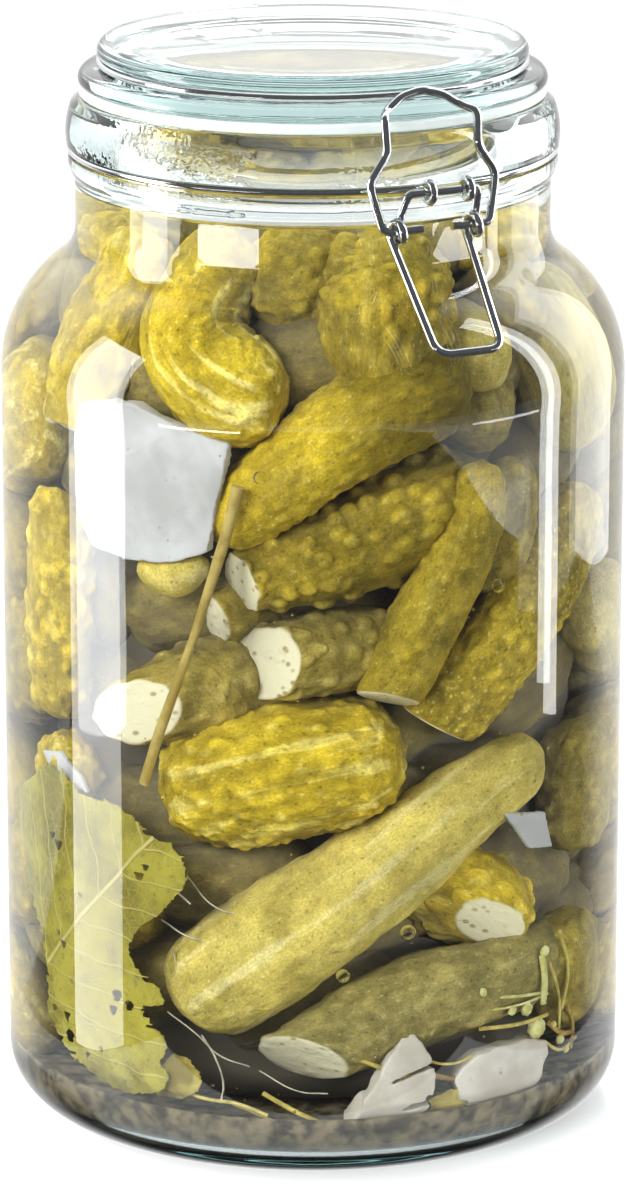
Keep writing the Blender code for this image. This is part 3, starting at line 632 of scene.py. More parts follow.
def skin_group():
    """A gherkin's skin: mottled, striped and speckled, with pale dots, and painted light on its bumps and
    painted shade between them.
    """
    tree, given, out = new_group("gherkin_skin", [
        ("Vector", "Place", None), ("Float", "Raised", 0.0), ("Float", "Along", 0.0),
        ("Color", "Dark", rgb(0.2, 0.16, 0.02)),
        ("Color", "Bright", rgb(0.4, 0.3, 0.03)), ("Color", "Pale", rgb(0.7, 0.6, 0.2)),
        ("Float", "Stripes", 0.5), ("Float", "Dots", 0.5), ("Float", "Wart Size", 0.004),
        ("Float", "Dull End", 0.0), ("Float", "Mottle", 0.5)],
        [("Color", "Color"), ("Float", "Height")])
    place = given.outputs["Place"]
    patches = add_node(tree, "TexNoise", scale=62.0, detail=4.0, roughness=0.6)
    join(tree, place, patches.inputs["Vector"])
    colour = mix_colours(tree, ramp(tree, patches.outputs["Fac"], 0.26, 0.66),
                         given.outputs["Dark"], given.outputs["Bright"])
    lengthwise = add_node(tree, "Mapping")
    lengthwise.inputs["Scale"].default_value = (1.0, 1.0, 0.10)
    join(tree, place, lengthwise.inputs["Vector"])
    streak = add_node(tree, "TexNoise", scale=210.0, detail=3.0, roughness=0.6)
    join(tree, lengthwise.outputs["Vector"], streak.inputs["Vector"])
    stripe = math_node(tree, "MULTIPLY", ramp(tree, streak.outputs["Fac"], 0.53, 0.66),
                       given.outputs["Stripes"])
    colour = mix_colours(tree, stripe, colour, given.outputs["Pale"])
    mottle = add_node(tree, "TexNoise", scale=300.0, detail=3.0, roughness=0.65)
    join(tree, place, mottle.inputs["Vector"])
    blotched = scaled(tree, colour, 0.66, 1.34, ramp(tree, mottle.outputs["Fac"], 0.33, 0.67))
    colour = mix_colours(tree, given.outputs["Mottle"], colour, blotched)
    cells = add_node(tree, "TexVoronoi", feature="F1")
    join(tree, place, cells.inputs["Vector"])
    join(tree, math_node(tree, "DIVIDE", 1.0, given.outputs["Wart Size"]), cells.inputs["Scale"])
    dot = math_node(tree, "SUBTRACT", 1.0, ramp(tree, cells.outputs["Distance"], 0.08, 0.34))
    colour = mix_colours(tree, math_node(tree, "MULTIPLY", dot, given.outputs["Dots"]),
                         colour, given.outputs["Pale"])
    pores = add_node(tree, "TexVoronoi", feature="F1", scale=520.0)
    join(tree, place, pores.inputs["Vector"])
    pore = math_node(tree, "SUBTRACT", 1.0, ramp(tree, pores.outputs["Distance"], 0.10, 0.30))
    scatter = ramp(tree, mottle.outputs["Fac"], 0.46, 0.56)
    pale_pore = math_node(tree, "MULTIPLY", math_node(tree, "MULTIPLY", pore, scatter), 0.5)
    colour = mix_colours(tree, pale_pore, colour, given.outputs["Pale"])
    dark_pore = math_node(tree, "MULTIPLY", pore, math_node(tree, "SUBTRACT", 1.0, scatter))
    colour = scaled(tree, colour, 1.0, 0.62, dark_pore)
    fine = add_node(tree, "TexNoise", scale=1500.0, detail=3.0, roughness=0.7)
    join(tree, place, fine.inputs["Vector"])
    colour = scaled(tree, colour, 0.80, 1.20, ramp(tree, fine.outputs["Fac"], 0.30, 0.70))
    # painted light on raised places and painted shade in hollows
    colour = scaled(tree, colour, 0.72, 1.22, ramp(tree, given.outputs["Raised"], -0.9, 0.9))
    # painted shade: the far end of the skin is darkened, down to a fifth of its colour
    dulled = math_node(tree, "MULTIPLY", ramp(tree, given.outputs["Along"], 0.46, 0.86),
                       given.outputs["Dull End"])
    colour = scaled(tree, colour, 1.0, 0.20, dulled)
    height = math_node(tree, "ADD", math_node(tree, "MULTIPLY", dot, 0.40),
                       math_node(tree, "MULTIPLY", mottle.outputs["Fac"], 0.7))
    height = math_node(tree, "ADD", height, math_node(tree, "MULTIPLY", fine.outputs["Fac"], 0.18))
    height = math_node(tree, "ADD", height, math_node(tree, "MULTIPLY", streak.outputs["Fac"], 0.9))
    join(tree, colour, out.inputs["Color"])
    join(tree, height, out.inputs["Height"])
    return tree


def gherkin_finish(name, groups, dark, bright, pale, stripes, dots, wart_size, dull_end=0.0,
                   mottle=0.5, most=0.9):
    """A wet gherkin: its skin, and pale seeded flesh where it is cut."""
    material, tree, shader = new_material(name)
    own_place = add_node(tree, "Attribute", attribute_name="skin_place")
    skin = use_group(tree, groups["skin"], Dark=rgb(*dark), Bright=rgb(*bright), Pale=rgb(*pale),
                     Stripes=stripes, Dots=dots, Wart_Size=wart_size, Dull_End=dull_end, Mottle=mottle)
    join(tree, own_place.outputs["Vector"], skin.inputs["Place"])
    raised = add_node(tree, "Attribute", attribute_name="raised")
    join(tree, raised.outputs["Fac"], skin.inputs["Raised"])
    along = add_node(tree, "Attribute", attribute_name="along")
    join(tree, along.outputs["Fac"], skin.inputs["Along"])
    cut = add_node(tree, "Attribute", attribute_name="cut_face")
    seeds = add_node(tree, "TexVoronoi", scale=330.0)
    join(tree, own_place.outputs["Vector"], seeds.inputs["Vector"])
    flesh = mix_colours(tree, ramp(tree, seeds.outputs["Distance"], 0.10, 0.32),
                        rgb(0.42, 0.33, 0.15), rgb(0.83, 0.77, 0.53))
    colour = mix_colours(tree, cut.outputs["Fac"], skin.outputs["Color"], flesh)
    # painted shade that deepens away from the glass
    murk = use_group(tree, groups["murk"], Most=most)
    join(tree, colour, murk.inputs["Color"])
    join(tree, murk.outputs["Color"], shader.inputs["Base Color"])
    relief = add_node(tree, "Bump", strength=0.75, distance=0.0009)
    join(tree, skin.outputs["Height"], relief.inputs["Height"])
    join(tree, relief.outputs["Normal"], shader.inputs["Normal"])
    shader.inputs["Roughness"].default_value = 0.50
    shader.inputs["Specular IOR Level"].default_value = 0.16
    return material


def plain_wet_finish(name, groups, low, high, scale, roughness=0.45, most=0.8, bump=0.3):
    """A wet vegetable surface mottled between two colours."""
    material, tree, shader = new_material(name)
    places = add_node(tree, "TexCoord")
    mottle = add_node(tree, "TexNoise", scale=scale, detail=5.0, roughness=0.6)
    join(tree, places.outputs["Object"], mottle.inputs["Vector"])
    colour = mix_colours(tree, ramp(tree, mottle.outputs["Fac"], 0.35, 0.65), rgb(*low), rgb(*high))
    # painted shade that deepens away from the glass
    murk = use_group(tree, groups["murk"], Most=most)
    join(tree, colour, murk.inputs["Color"])
    join(tree, murk.outputs["Color"], shader.inputs["Base Color"])
    relief = add_node(tree, "Bump", strength=bump, distance=0.0006)
    join(tree, mottle.outputs["Fac"], relief.inputs["Height"])
    join(tree, relief.outputs["Normal"], shader.inputs["Normal"])
    shader.inputs["Roughness"].default_value = roughness
    shader.inputs["Specular IOR Level"].default_value = 0.35
    return material


# ---- glass -------------------------------------------------------------------------------------
def neck_arc_height():
    """The height of the neck's hollow arc's centre, where it runs smoothly into the shoulder."""
    reach = (NECK_ARC + SHOULDER_ARC) ** 2
    across = (NECK_ARC + NECK_RADIUS - (BODY_RADIUS - SHOULDER_ARC)) ** 2
    return SHOULDER_HEIGHT + math.sqrt(reach - across)


def shoulder(offset, count):
    """The shoulder from the neck down to the wall, moved inward by offset."""
    outer = (NECK_RADIUS + NECK_ARC, neck_arc_height())
    inner = (BODY_RADIUS - SHOULDER_ARC, SHOULDER_HEIGHT)
    meet = math.degrees(math.atan2(outer[1] - inner[1], outer[0] - inner[0]))
    concave = arc(outer, NECK_ARC + offset, 180, 180 + meet, count)
    convex = arc(inner, SHOULDER_ARC - offset, meet, 0, count * 2)
    return concave + convex[1:]


def inner_profile(gap):
    """The jar's inside from its mouth down to the middle of its floor, moved inward by gap."""
    wall = BODY_RADIUS - WALL - gap
    corner = 11.0 - gap
    floor = FLOOR_EDGE + gap
    points = arc((MOUTH_BORE + 1.0, RIM_HEIGHT - 1.0), 1.0 + gap, 90, 180, 3)
    taper = NECK_RADIUS - WALL - NECK_BORE
    points += [(MOUTH_BORE - gap, 286.0), (MOUTH_BORE - gap, 280.0), (NECK_BORE - 0.08 - gap, 269.0),
               (NECK_BORE + 0.14 - gap, 267.4), (NECK_BORE + 0.5 * taper - gap, 260.8),
               (NECK_BORE + 0.9 * taper - gap, 255.0)]
    points += shoulder(WALL + gap, 8)
    points += [(wall, height) for height in range(200, 20, -20)]
    points += arc((wall - corner, floor + corner), corner, 0, -90, 10)
    for step in range(1, 7):
        part = step / 6
        dome = math.sin(part * math.pi / 2) ** 2
        points.append(((wall - corner) * (1 - part), floor + (FLOOR_CENTRE - FLOOR_EDGE) * dome))
    return points


def outer_profile():
    """The jar's outside from the rim down to the middle of its foot."""
    rim = arc((BEAD_RADIUS - 4.6, RIM_HEIGHT - 1.6), 1.6, 90, 20, 4)
    bead = arc((BEAD_RADIUS - BEAD_ARC, BEAD_HEIGHT), BEAD_ARC, 22.0, -7.5, 8)
    notch = NECK_WIRE_RADIUS - RING_WIRE - GAP
    reach = RING_WIRE + GAP
    groove = arc((notch + reach, NECK_WIRE_HEIGHT), reach, 120, 240, 6)
    roll = arc((LOWER_ROLL_RADIUS - LOWER_ROLL_ARC, LOWER_ROLL_HEIGHT), LOWER_ROLL_ARC, 8, -40, 6)
    neck = [(NECK_RADIUS, height) for height in (266.9, 264.0, 260.0, 256.0, 254.1)]
    wall = [(BODY_RADIUS, height) for height in range(200, 20, -20)]
    foot = arc((BODY_RADIUS - FOOT_CORNER, FOOT_CORNER), FOOT_CORNER, 0, -90, 14)
    punt = [(BODY_RADIUS - FOOT_CORNER - 3.0, 0.0), (BODY_RADIUS - FOOT_CORNER - 6.0, 0.5),
            (50.0, 1.8), (25.0, 2.4), (0.0, 2.6)]
    return rim + bead + groove + roll + neck + shoulder(0.0, 12) + wall + foot + punt


def make_jar(glass):
    """The jar's one skin of glass, inside and out."""
    jar = turned("jar_glass", list(reversed(inner_profile(0.0))) + outer_profile(), GLASS_STEPS)
    shade_smooth(jar, 50)
    settle(jar, glass, "jar", "clear_glass", "jar")


def make_lid(glass):
    """The lid: a raised disc, a groove for its wire, a flange over the seal, and a plug."""
    reach = RING_WIRE + GAP
    disc = [(0.0, LID_TOP - 0.5), (DISC_RADIUS - 12.9, LID_TOP - 0.5),
            (DISC_RADIUS - 11.9, LID_TOP - 0.1)]
    disc += arc((DISC_RADIUS - 3.0, LID_TOP - 3.0), 3.0, 90, -20, 10)
    groove = arc((GROOVE_RADIUS + reach, LID_WIRE_HEIGHT), reach, 100, 260, 8)
    flange = [(61.0, LID_WIRE_HEIGHT - reach - 0.1)]
    flange += arc((FLANGE_RADIUS - 2.6, FLANGE_BOTTOM + 1.4), 2.6, 78, 0, 6)
    flange += [(FLANGE_RADIUS - 0.1, FLANGE_BOTTOM + 0.7), (FLANGE_RADIUS - 0.8, FLANGE_BOTTOM),
               (PLUG_RADIUS + 0.4, FLANGE_BOTTOM), (PLUG_RADIUS, FLANGE_BOTTOM - 0.4)]
    plug = arc((PLUG_RADIUS - 2.0, PLUG_BOTTOM + 2.0), 2.0, 0, -90, 5)
    plug += [(40.0, PLUG_BOTTOM + 0.2), (0.0, PLUG_BOTTOM + 0.8)]
    lid = turned("lid_glass", disc + groove + flange + plug, GLASS_STEPS)
    shade_smooth(lid, 50)
    settle(lid, glass, "lid", "clear_glass", "lid")


def make_seal(finish):
    """The flat ring between rim and lid, rounded at its outer edge."""
    low = RIM_HEIGHT + GAP
    high = low + SEAL_THICKNESS
    inner = PLUG_RADIUS + GAP + 0.2
    edge = arc((SEAL_RADIUS - 0.7, high - 0.7), 0.7, 90, 0, 4)
    edge += arc((SEAL_RADIUS - 0.7, low + 0.7), 0.7, 0, -90, 4)
    profile = [(inner, low), (inner, high)] + edge + [(inner, low)]
    seal = turned("seal_ring", profile, 96)
    shade_smooth(seal, 50)
    settle(seal, finish, "lid", "clear_silicone", "gasket")


def make_brine(finish):
    """The brine, which wets the glass all round and climbs it a little at its edge."""
    below = [point for point in inner_profile(-WETTED) if point[1] < BRINE_LEVEL - 0.5]
    edge = BRINE_EDGE + WETTED
    top = [(0.0, BRINE_LEVEL), (edge - 5.0, BRINE_LEVEL), (edge - 3.5, BRINE_LEVEL + 0.02),
           (edge - 1.8, BRINE_LEVEL + 0.15), (edge - 0.9, BRINE_LEVEL + 0.5),
           (edge - 0.4, BRINE_LEVEL + 1.0), (edge - 0.3, BRINE_LEVEL + 1.3)]
    brine = turned("brine", top + below, GLASS_STEPS)
    shade_smooth(brine, 50)
    settle(brine, finish, "jar", "clear_glass")


# ---- wires -------------------------------------------------------------------------------------
def make_neck_wire(finish):
    """An open ring under the bead: an eye at each front end, and two hinge loops at the back."""
    eye = RING_WIRE + GAP + CLASP_WIRE
    axis = (LEVER_AXIS_Y, LEVER_AXIS_HEIGHT)
    hinge = (HINGE_Y, HINGE_HEIGHT)
    loop = RING_WIRE * 2 + GAP
    left_eye = loop_points(axis, eye, -30, -330, EYE_PLACES[0], EYE_PLACES[0], 24)
    right_eye = loop_points(axis, eye, 30, 330, EYE_PLACES[1], EYE_PLACES[1], 24)
    left_turn = math.degrees(math.asin((EYE_PLACES[0] - 3.0) / NECK_WIRE_RADIUS))
    right_turn = math.degrees(math.asin((EYE_PLACES[1] + 3.0) / NECK_WIRE_RADIUS))
    back = 180.0 - math.degrees(math.asin(HINGE_LOOP_X / NECK_WIRE_RADIUS))
    left_ring = ring_points(NECK_WIRE_RADIUS, NECK_WIRE_HEIGHT, left_turn, -back, 70)
    right_ring = ring_points(NECK_WIRE_RADIUS, NECK_WIRE_HEIGHT, back, right_turn, 70)
    inner_x = HINGE_LOOP_X - RING_WIRE * 2 - 0.4
    left_rise = [Vector((-HINGE_LOOP_X, 70.9, NECK_WIRE_HEIGHT + 0.2))]
    right_rise = [Vector((HINGE_LOOP_X, 70.9, NECK_WIRE_HEIGHT + 0.2))]
    left_loop = loop_points(hinge, loop, -58, 185, -HINGE_LOOP_X, -inner_x, 24)
    right_loop = loop_points(hinge, loop, 185, -58, inner_x, HINGE_LOOP_X, 24)
    cross = [Vector((-inner_x + 0.8, HINGE_Y - loop, HINGE_HEIGHT - 1.6)),
             Vector((inner_x - 0.8, HINGE_Y - loop, HINGE_HEIGHT - 1.6))]
    points = left_eye + left_ring + left_rise + left_loop + cross
    points += right_loop + right_rise + right_ring + right_eye
    wire = tube("neck_ring_wire", points, RING_WIRE)
    settle(wire, finish, "jar", "bright_wire", "neck_wire")


def make_lid_wire(finish):
    """A ring in the lid's groove whose back is bent down into the hinge pin."""
    back = 180.0 - math.degrees(math.asin(HINGE_HALF_WIDTH / LID_WIRE_RADIUS))
    ring = ring_points(LID_WIRE_RADIUS, LID_WIRE_HEIGHT, back, -back, 140)
    arm = [(60.6, LID_WIRE_HEIGHT + 0.2), (66.0, LID_WIRE_HEIGHT - 0.6), (71.6, 292.6),
           (HINGE_Y, 287.0), (HINGE_Y, HINGE_HEIGHT)]
    left = [Vector((-HINGE_HALF_WIDTH, across, height)) for across, height in arm]
    right = [Vector((HINGE_HALF_WIDTH, across, height)) for across, height in reversed(arm)]
    bent = rounded([ring[-1]] + left + right + [ring[0]], 1.8, 6)
    wire = tube("lid_ring_wire", ring[:-1] + bent[:-1], RING_WIRE, closed=True)
    settle(wire, finish, "lid", "bright_wire", "lid_wire")


def handle_place(distance, across):
    """A point on the lever's handle, at a distance down it from the coils."""
    angle = math.radians(HANDLE_ANGLE)
    start = math.radians(HANDLE_ANGLE - 90.0)
    coil = CLASP_WIRE * 2 + GAP
    out = coil * math.cos(start) + distance * math.cos(angle)
    up = coil * math.sin(start) + distance * math.sin(angle)
    return Vector((across, BAIL_AXIS_Y - out, BAIL_AXIS_HEIGHT + up))


def make_lever(finish):
    """One closed wire: the bar in the eyes, two arms, two coils, and the handle."""
    coil = CLASP_WIRE * 2 + GAP
    axis = (BAIL_AXIS_Y, BAIL_AXIS_HEIGHT)
    turn = 360.0 + HANDLE_ANGLE - 90.0 + 180.0
    shift = COIL_PITCH * turn / 360.0
    bar = [Vector((-8.2, LEVER_AXIS_Y, LEVER_AXIS_HEIGHT)),
           Vector((12.9, LEVER_AXIS_Y, LEVER_AXIS_HEIGHT))]
    right_x, left_x = 12.85, -10.15
    right_coil = loop_points(axis, coil, 0, -turn, right_x, right_x - shift, 36)
    left_coil = loop_points(axis, coil, 0, -turn, left_x, left_x - shift, 36)
    right_leg = right_coil[-1].x
    left_leg = left_coil[-1].x
    handle = rounded([right_coil[-1], handle_place(HANDLE_LENGTH, right_leg - 0.8),
                      handle_place(HANDLE_LENGTH, left_leg + 2.6), left_coil[-1]], 4.5, 12)
    top = rounded([left_coil[0], Vector((-9.6, LEVER_AXIS_Y + 1.4, 270.5)), *bar,
                   Vector((13.1, LEVER_AXIS_Y + 1.4, 270.5)), right_coil[0]], 1.6, 8)
    points = top[:-1] + right_coil + handle[1:-1] + list(reversed(left_coil))[:-1]
    wire = tube("lever_wire", points, CLASP_WIRE, closed=True)
    settle(wire, finish, "lever", "bright_wire", "lever")


def make_bail(finish):
    """The loop that clamps the lid: stubs in the coils, waisted legs, and an arched top bar."""
    half = [(4.5, -BAIL_AXIS_Y, BAIL_AXIS_HEIGHT), (16.0, -BAIL_AXIS_Y, BAIL_AXIS_HEIGHT),
            (18.8, 71.0, 276.6), (18.6, 70.9, 279.2), (13.7, 70.6, 286.0), (14.0, 69.7, 295.4),
            (11.2, 65.0, 296.4), (6.0, 64.0, 299.9), (0.0, 63.8, 301.2)]
    left = [Vector((-across, -out, height)) for across, out, height in half]
    right = [Vector((across, -out, height)) for across, out, height in reversed(half[:-1])]
    wire = tube("bail_wire", rounded(left + right, 2.0, 8), CLASP_WIRE)
    settle(wire, finish, "bail", "bright_wire", "bail")


# ---- gherkins ----------------------------------------------------------------------------------
def between(values, along):
    """A smooth value from a row of values spread evenly from 0 to 1."""
    spot = along * (len(values) - 1)
    index = min(int(spot), len(values) - 2)
    part = spot - index
    here, there = values[index], values[index + 1]
    before = values[index - 1] if index else 2 * here - there
    after = values[index + 2] if index + 2 < len(values) else 2 * there - here
    bend_in = (there - before) / 2
    bend_out = (after - here) / 2
    rise = 3 * (there - here) - 2 * bend_in - bend_out
    fall = 2 * (here - there) + bend_in + bend_out
    return here + bend_in * part + rise * part ** 2 + fall * part ** 3


def round_end(distance, reach):
    """How full a rounded end is at a distance from its tip."""
    if distance >= reach:
        return 1.0
    part = 1.0 - distance / reach
    return math.sqrt(max(0.0, 1.0 - part ** 2.4))


def gherkin_outline(length, girth, fullness, cut_start, cut_end):
    """The half outline of a straight gherkin along Z: rounded or cut flat at each end."""
    radius = girth / 2
    rim = 0.9
    points = []
    if cut_start:
        first = radius * fullness[0]
        points += [(0.0, 0.0), (first * 0.55, 0.0), (first * 0.93, 0.15)]
    for step in range(OUTLINE_STEPS + 1):
        along = step / OUTLINE_STEPS
        full = between(fullness, along)
        if not cut_start:
            full *= round_end(along * length, radius * fullness[0] * 1.05)
        if not cut_end:
            full *= round_end((1 - along) * length, radius * fullness[-1] * 1.05)
        height = along * length
        if cut_start:
            height = max(height, rim)
        if cut_end:
            height = min(height, length - rim)
        points.append((radius * full, height))
    if cut_end:
        last = radius * fullness[-1]
        points += [(last * 0.93, length - 0.15), (last * 0.55, length), (0.0, length)]
    points[0] = (0.0, points[0][1])
    points[-1] = (0.0, points[-1][1])
    return list(reversed(points))


def guide_curve(name, points):
    """A smooth curve through places in millimetres, which a straight piece is bent along."""
    data = bpy.data.curves.new(name, "CURVE")
    data.dimensions = "3D"
    data.resolution_u = 24
    data.twist_mode = "MINIMUM"
    spline = data.splines.new("BEZIER")
    spline.bezier_points.add(len(points) - 1)
    for slot, point in zip(spline.bezier_points, points):
        slot.co = point * MM
        slot.handle_left_type = "AUTO"
        slot.handle_right_type = "AUTO"
    guide = bpy.data.objects.new(name, data)
    bpy.context.scene.collection.objects.link(guide)
    return guide, spline.calc_length() / MM


def lumps(name, kind, size, **settings):
    """A texture of soft unevenness, its size in millimetres."""
    texture = bpy.data.textures.new(name, kind)
    texture.noise_scale = size * MM
    for key, value in settings.items():
        setattr(texture, key, value)
    return texture


def warts(name, size):
    """A texture of round bumps, high in their middles and level between them."""
    texture = lumps(name, "VORONOI", size, distance_metric="DISTANCE_SQUARED")
    texture.use_color_ramp = True
    steps = texture.color_ramp.elements
    steps[0].position = 0.0
    steps[0].color = (1, 1, 1, 1)
    steps[1].position = 0.22
    steps[1].color = (0, 0, 0, 1)
    middle = steps.new(0.09)
    middle.color = (0.62, 0.62, 0.62, 1)
    return texture


def displace(obj, texture, strength, middle=0.5):
    """Raise and sink a skin by a texture; strength in millimetres."""
    modifier = obj.modifiers.new("relief", "DISPLACE")
    modifier.texture = texture
    modifier.texture_coords = "LOCAL"
    modifier.strength = strength * MM
    modifier.mid_level = middle


def remember_places(obj, cut_start, cut_end, length):
    """Keep each point's place on the straight gherkin, and mark its cut faces."""
    count = len(obj.data.vertices)
    places = np.empty(count * 3, np.float32)
    obj.data.vertices.foreach_get("co", places)
    own = obj.data.attributes.new("skin_place", "FLOAT_VECTOR", "POINT")
    own.data.foreach_set("vector", places)
    along = places.reshape(-1, 3)[:, 2] / MM
    marks = np.zeros(count, np.float32)
    if cut_start:
        marks = np.maximum(marks, np.clip((0.75 - along) / 0.4, 0, 1))
    if cut_end:
        marks = np.maximum(marks, np.clip((along - length + 0.75) / 0.4, 0, 1))
    cut = obj.data.attributes.new("cut_face", "FLOAT", "POINT")
    cut.data.foreach_set("value", marks.astype(np.float32))
    spread = obj.data.attributes.new("along", "FLOAT", "POINT")
    spread.data.foreach_set("value", np.clip(along / length, 0, 1).astype(np.float32))


def remember_relief(obj, axis_x, axis_y):
    """Keep how far each point now stands out of, or sinks below, the smooth skin."""
    count = len(obj.data.vertices)
    before = np.empty(count * 3, np.float32)
    obj.data.attributes["skin_place"].data.foreach_get("vector", before)
    after = np.empty(count * 3, np.float32)
    obj.data.vertices.foreach_get("co", after)
    before = before.reshape(-1, 3)
    after = after.reshape(-1, 3)
    was = np.hypot(before[:, 0] - axis_x, before[:, 1] - axis_y)
    now = np.hypot(after[:, 0] - axis_x, after[:, 1] - axis_y)
    raised = obj.data.attributes.new("raised", "FLOAT", "POINT")
    raised.data.foreach_set("value", np.clip((now - was) / MM, -1, 1).astype(np.float32))


def slant_cut(obj, start, along_way, facing, reach):
    """Slant the cut at a piece's start so that it faces another way."""
    count = len(obj.data.vertices)
    spots = np.empty(count * 3, np.float32)
    obj.data.vertices.foreach_get("co", spots)
    spots = spots.reshape(-1, 3).astype(float)
    own = np.empty(count * 3, np.float32)
    obj.data.attributes["skin_place"].data.foreach_get("vector", own)
    distance = own.reshape(-1, 3)[:, 2].astype(float)
    way = np.array(along_way)
    normal = np.array(facing)
    level = spots - np.outer(distance, way) - np.array(start)
    shift = -(level @ normal) / float(way @ normal)
    share = np.clip(1.0 - distance / reach, 0, 1)
    spots += np.outer(shift * share, way)
    obj.data.vertices.foreach_set("co", spots.astype(np.float32).ravel())
    obj.data.update()


def make_gherkin(name, kind, route, girth, fullness, cuts, kit, steps=20, levels=2):
    """One gherkin, turned straight, given its lumps and warts, and bent along its route."""
    guide, length = guide_curve(name + "_guide", [place(*spot) for spot in route])
    piece = turned(name, gherkin_outline(length, girth, fullness, *cuts), steps)
    soften(piece, levels)
    apply_modifiers(piece)
    looks = kit["looks"][kind]
    offset = kit["draw"].uniform(0.1, 0.9)      # metres, so that no two skins are alike
    piece.data.transform(Matrix.Translation((offset, -offset, 0)))
    remember_places(piece, *cuts, length)
    displace(piece, kit["textures"]["lumps"], looks["lumps"])
    displace(piece, kit["textures"]["creases"], looks.get("creases", 0.8))
    if looks["warts"]:
        displace(piece, kit["textures"][looks["wart_texture"]], looks["warts"], 0.25)
    apply_modifiers(piece)
    remember_relief(piece, offset, -offset)
    piece.data.transform(Matrix.Translation((-offset, offset, 0)))
    bend = piece.modifiers.new("bend", "CURVE")
    bend.object = guide
    bend.deform_axis = "POS_Z"
    apply_modifiers(piece)
    bpy.data.objects.remove(guide)
    if name in CUT_FACES:
        start = place(*route[0])
        along_way = (place(*route[1]) - start).normalized()
        side, towards, up = CUT_FACES[name]
        facing = from_view(side, -towards, up).normalized()
        slant_cut(piece, start * MM, along_way, facing, girth * 1.3 * MM)
    shade_smooth(piece, 60)
    settle(piece, looks["finish"], "jar", "gherkin_skin")


def gherkin_kit(groups):
    """The kinds of gherkin: each one's finish, and how lumpy, creased and warty it is.

    The numbers after each colour set are its stripes, its dots and its dots' size, then how much
    painted shade darkens its far end, and how strongly it is mottled."""
    skin = gherkin_finish
    olive = ((0.21, 0.155, 0.018), (0.43, 0.310, 0.028), (0.66, 0.54, 0.15))
    bright = ((0.36, 0.255, 0.022), (0.64, 0.46, 0.030), (0.86, 0.72, 0.22))
    pale = ((0.44, 0.345, 0.07), (0.66, 0.53, 0.13), (0.80, 0.70, 0.34))
    # the pale colours at about half strength: painted shade, for a pale gherkin that lies in shadow
    dull = ((0.20, 0.165, 0.05), (0.34, 0.28, 0.09), (0.56, 0.49, 0.24))
    # darker, browner olive: painted shade, for gherkins that lie in shade or deep in the heap
    deep = ((0.20, 0.150, 0.030), (0.38, 0.290, 0.055), (0.56, 0.47, 0.18))
    golden = ((0.40, 0.285, 0.018), (0.56, 0.405, 0.026), (0.84, 0.70, 0.20))
    looks = {
        "smooth": {"finish": skin("skin_smooth", groups, *olive, 0.15, 0.08, 0.006), "lumps": 1.6,
                   "warts": 0.5, "wart_texture": "small_warts"},
        # painted shade on this kind's far end, which lies in shade
        "two_tone": {"finish": skin("skin_two_tone", groups, *bright, 0.10, 0.08, 0.006, 0.90, 0.3),
                     "lumps": 1.6, "warts": 0.6, "wart_texture": "small_warts"},
        "warty": {"finish": skin("skin_warty", groups, *olive, 0.10, 0.20, 0.0045), "lumps": 1.8,
                  "warts": 1.9, "wart_texture": "warts"},
        "ribbed": {"finish": skin("skin_ribbed", groups, *golden, 0.9, 0.15, 0.005), "lumps": 2.6,
                   "warts": 0.5, "wart_texture": "small_warts", "creases": 1.2},
        "barrel": {"finish": skin("skin_barrel", groups, *golden, 0.6, 0.30, 0.0055), "lumps": 2.4,
                   "warts": 0.9, "wart_texture": "small_warts", "creases": 1.4},
        # a little painted shade on the far end
        "club": {"finish": skin("skin_club", groups, *pale, 0.5, 0.05, 0.006, 0.18, 0.25), "lumps": 1.8,
                 "warts": 0.0},
        # pale gherkins in shadow, with their shade painted in
        "dull": {"finish": skin("skin_dull", groups, *dull, 0.3, 0.12, 0.006), "lumps": 1.8,
                 "warts": 0.6, "wart_texture": "small_warts"},
        "speckled": {"finish": skin("skin_speckled", groups, *olive, 0.1, 0.75, 0.0021, 0.0, 0.8),
                     "lumps": 1.4, "warts": 0.8, "wart_texture": "small_warts"},
        "bright_warty": {"finish": skin("skin_bright_warty", groups, *bright, 0.2, 0.25, 0.005),
                         "lumps": 2.0, "warts": 1.7, "wart_texture": "warts", "creases": 1.3},
        "deep": {"finish": skin("skin_deep", groups, *deep, 0.2, 0.2, 0.005), "lumps": 2.0,
                 "warts": 1.0, "wart_texture": "warts"},
        # the clear kinds, near the brine's surface, take less of the painted depth shade
        "clear_olive": {"finish": skin("skin_clear_olive", groups, *olive, 0.2, 0.2, 0.005, most=0.3),
                        "lumps": 2.0, "warts": 1.4, "wart_texture": "warts", "creases": 1.3},
        "clear_bright": {"finish": skin("skin_clear_bright", groups, *bright, 0.5, 0.2, 0.005, most=0.3),
                         "lumps": 2.0, "warts": 1.2, "wart_texture": "warts", "creases": 1.3},
    }
    textures = {"lumps": lumps("lumps", "CLOUDS", 14.0, noise_depth=2),
                "creases": lumps("creases", "CLOUDS", 4.6, noise_depth=1),
                "warts": warts("warts", 6.0), "small_warts": warts("small_warts", 4.2)}
    return {"looks": looks, "textures": textures, "draw": random.Random(SKIN_DRAW)}


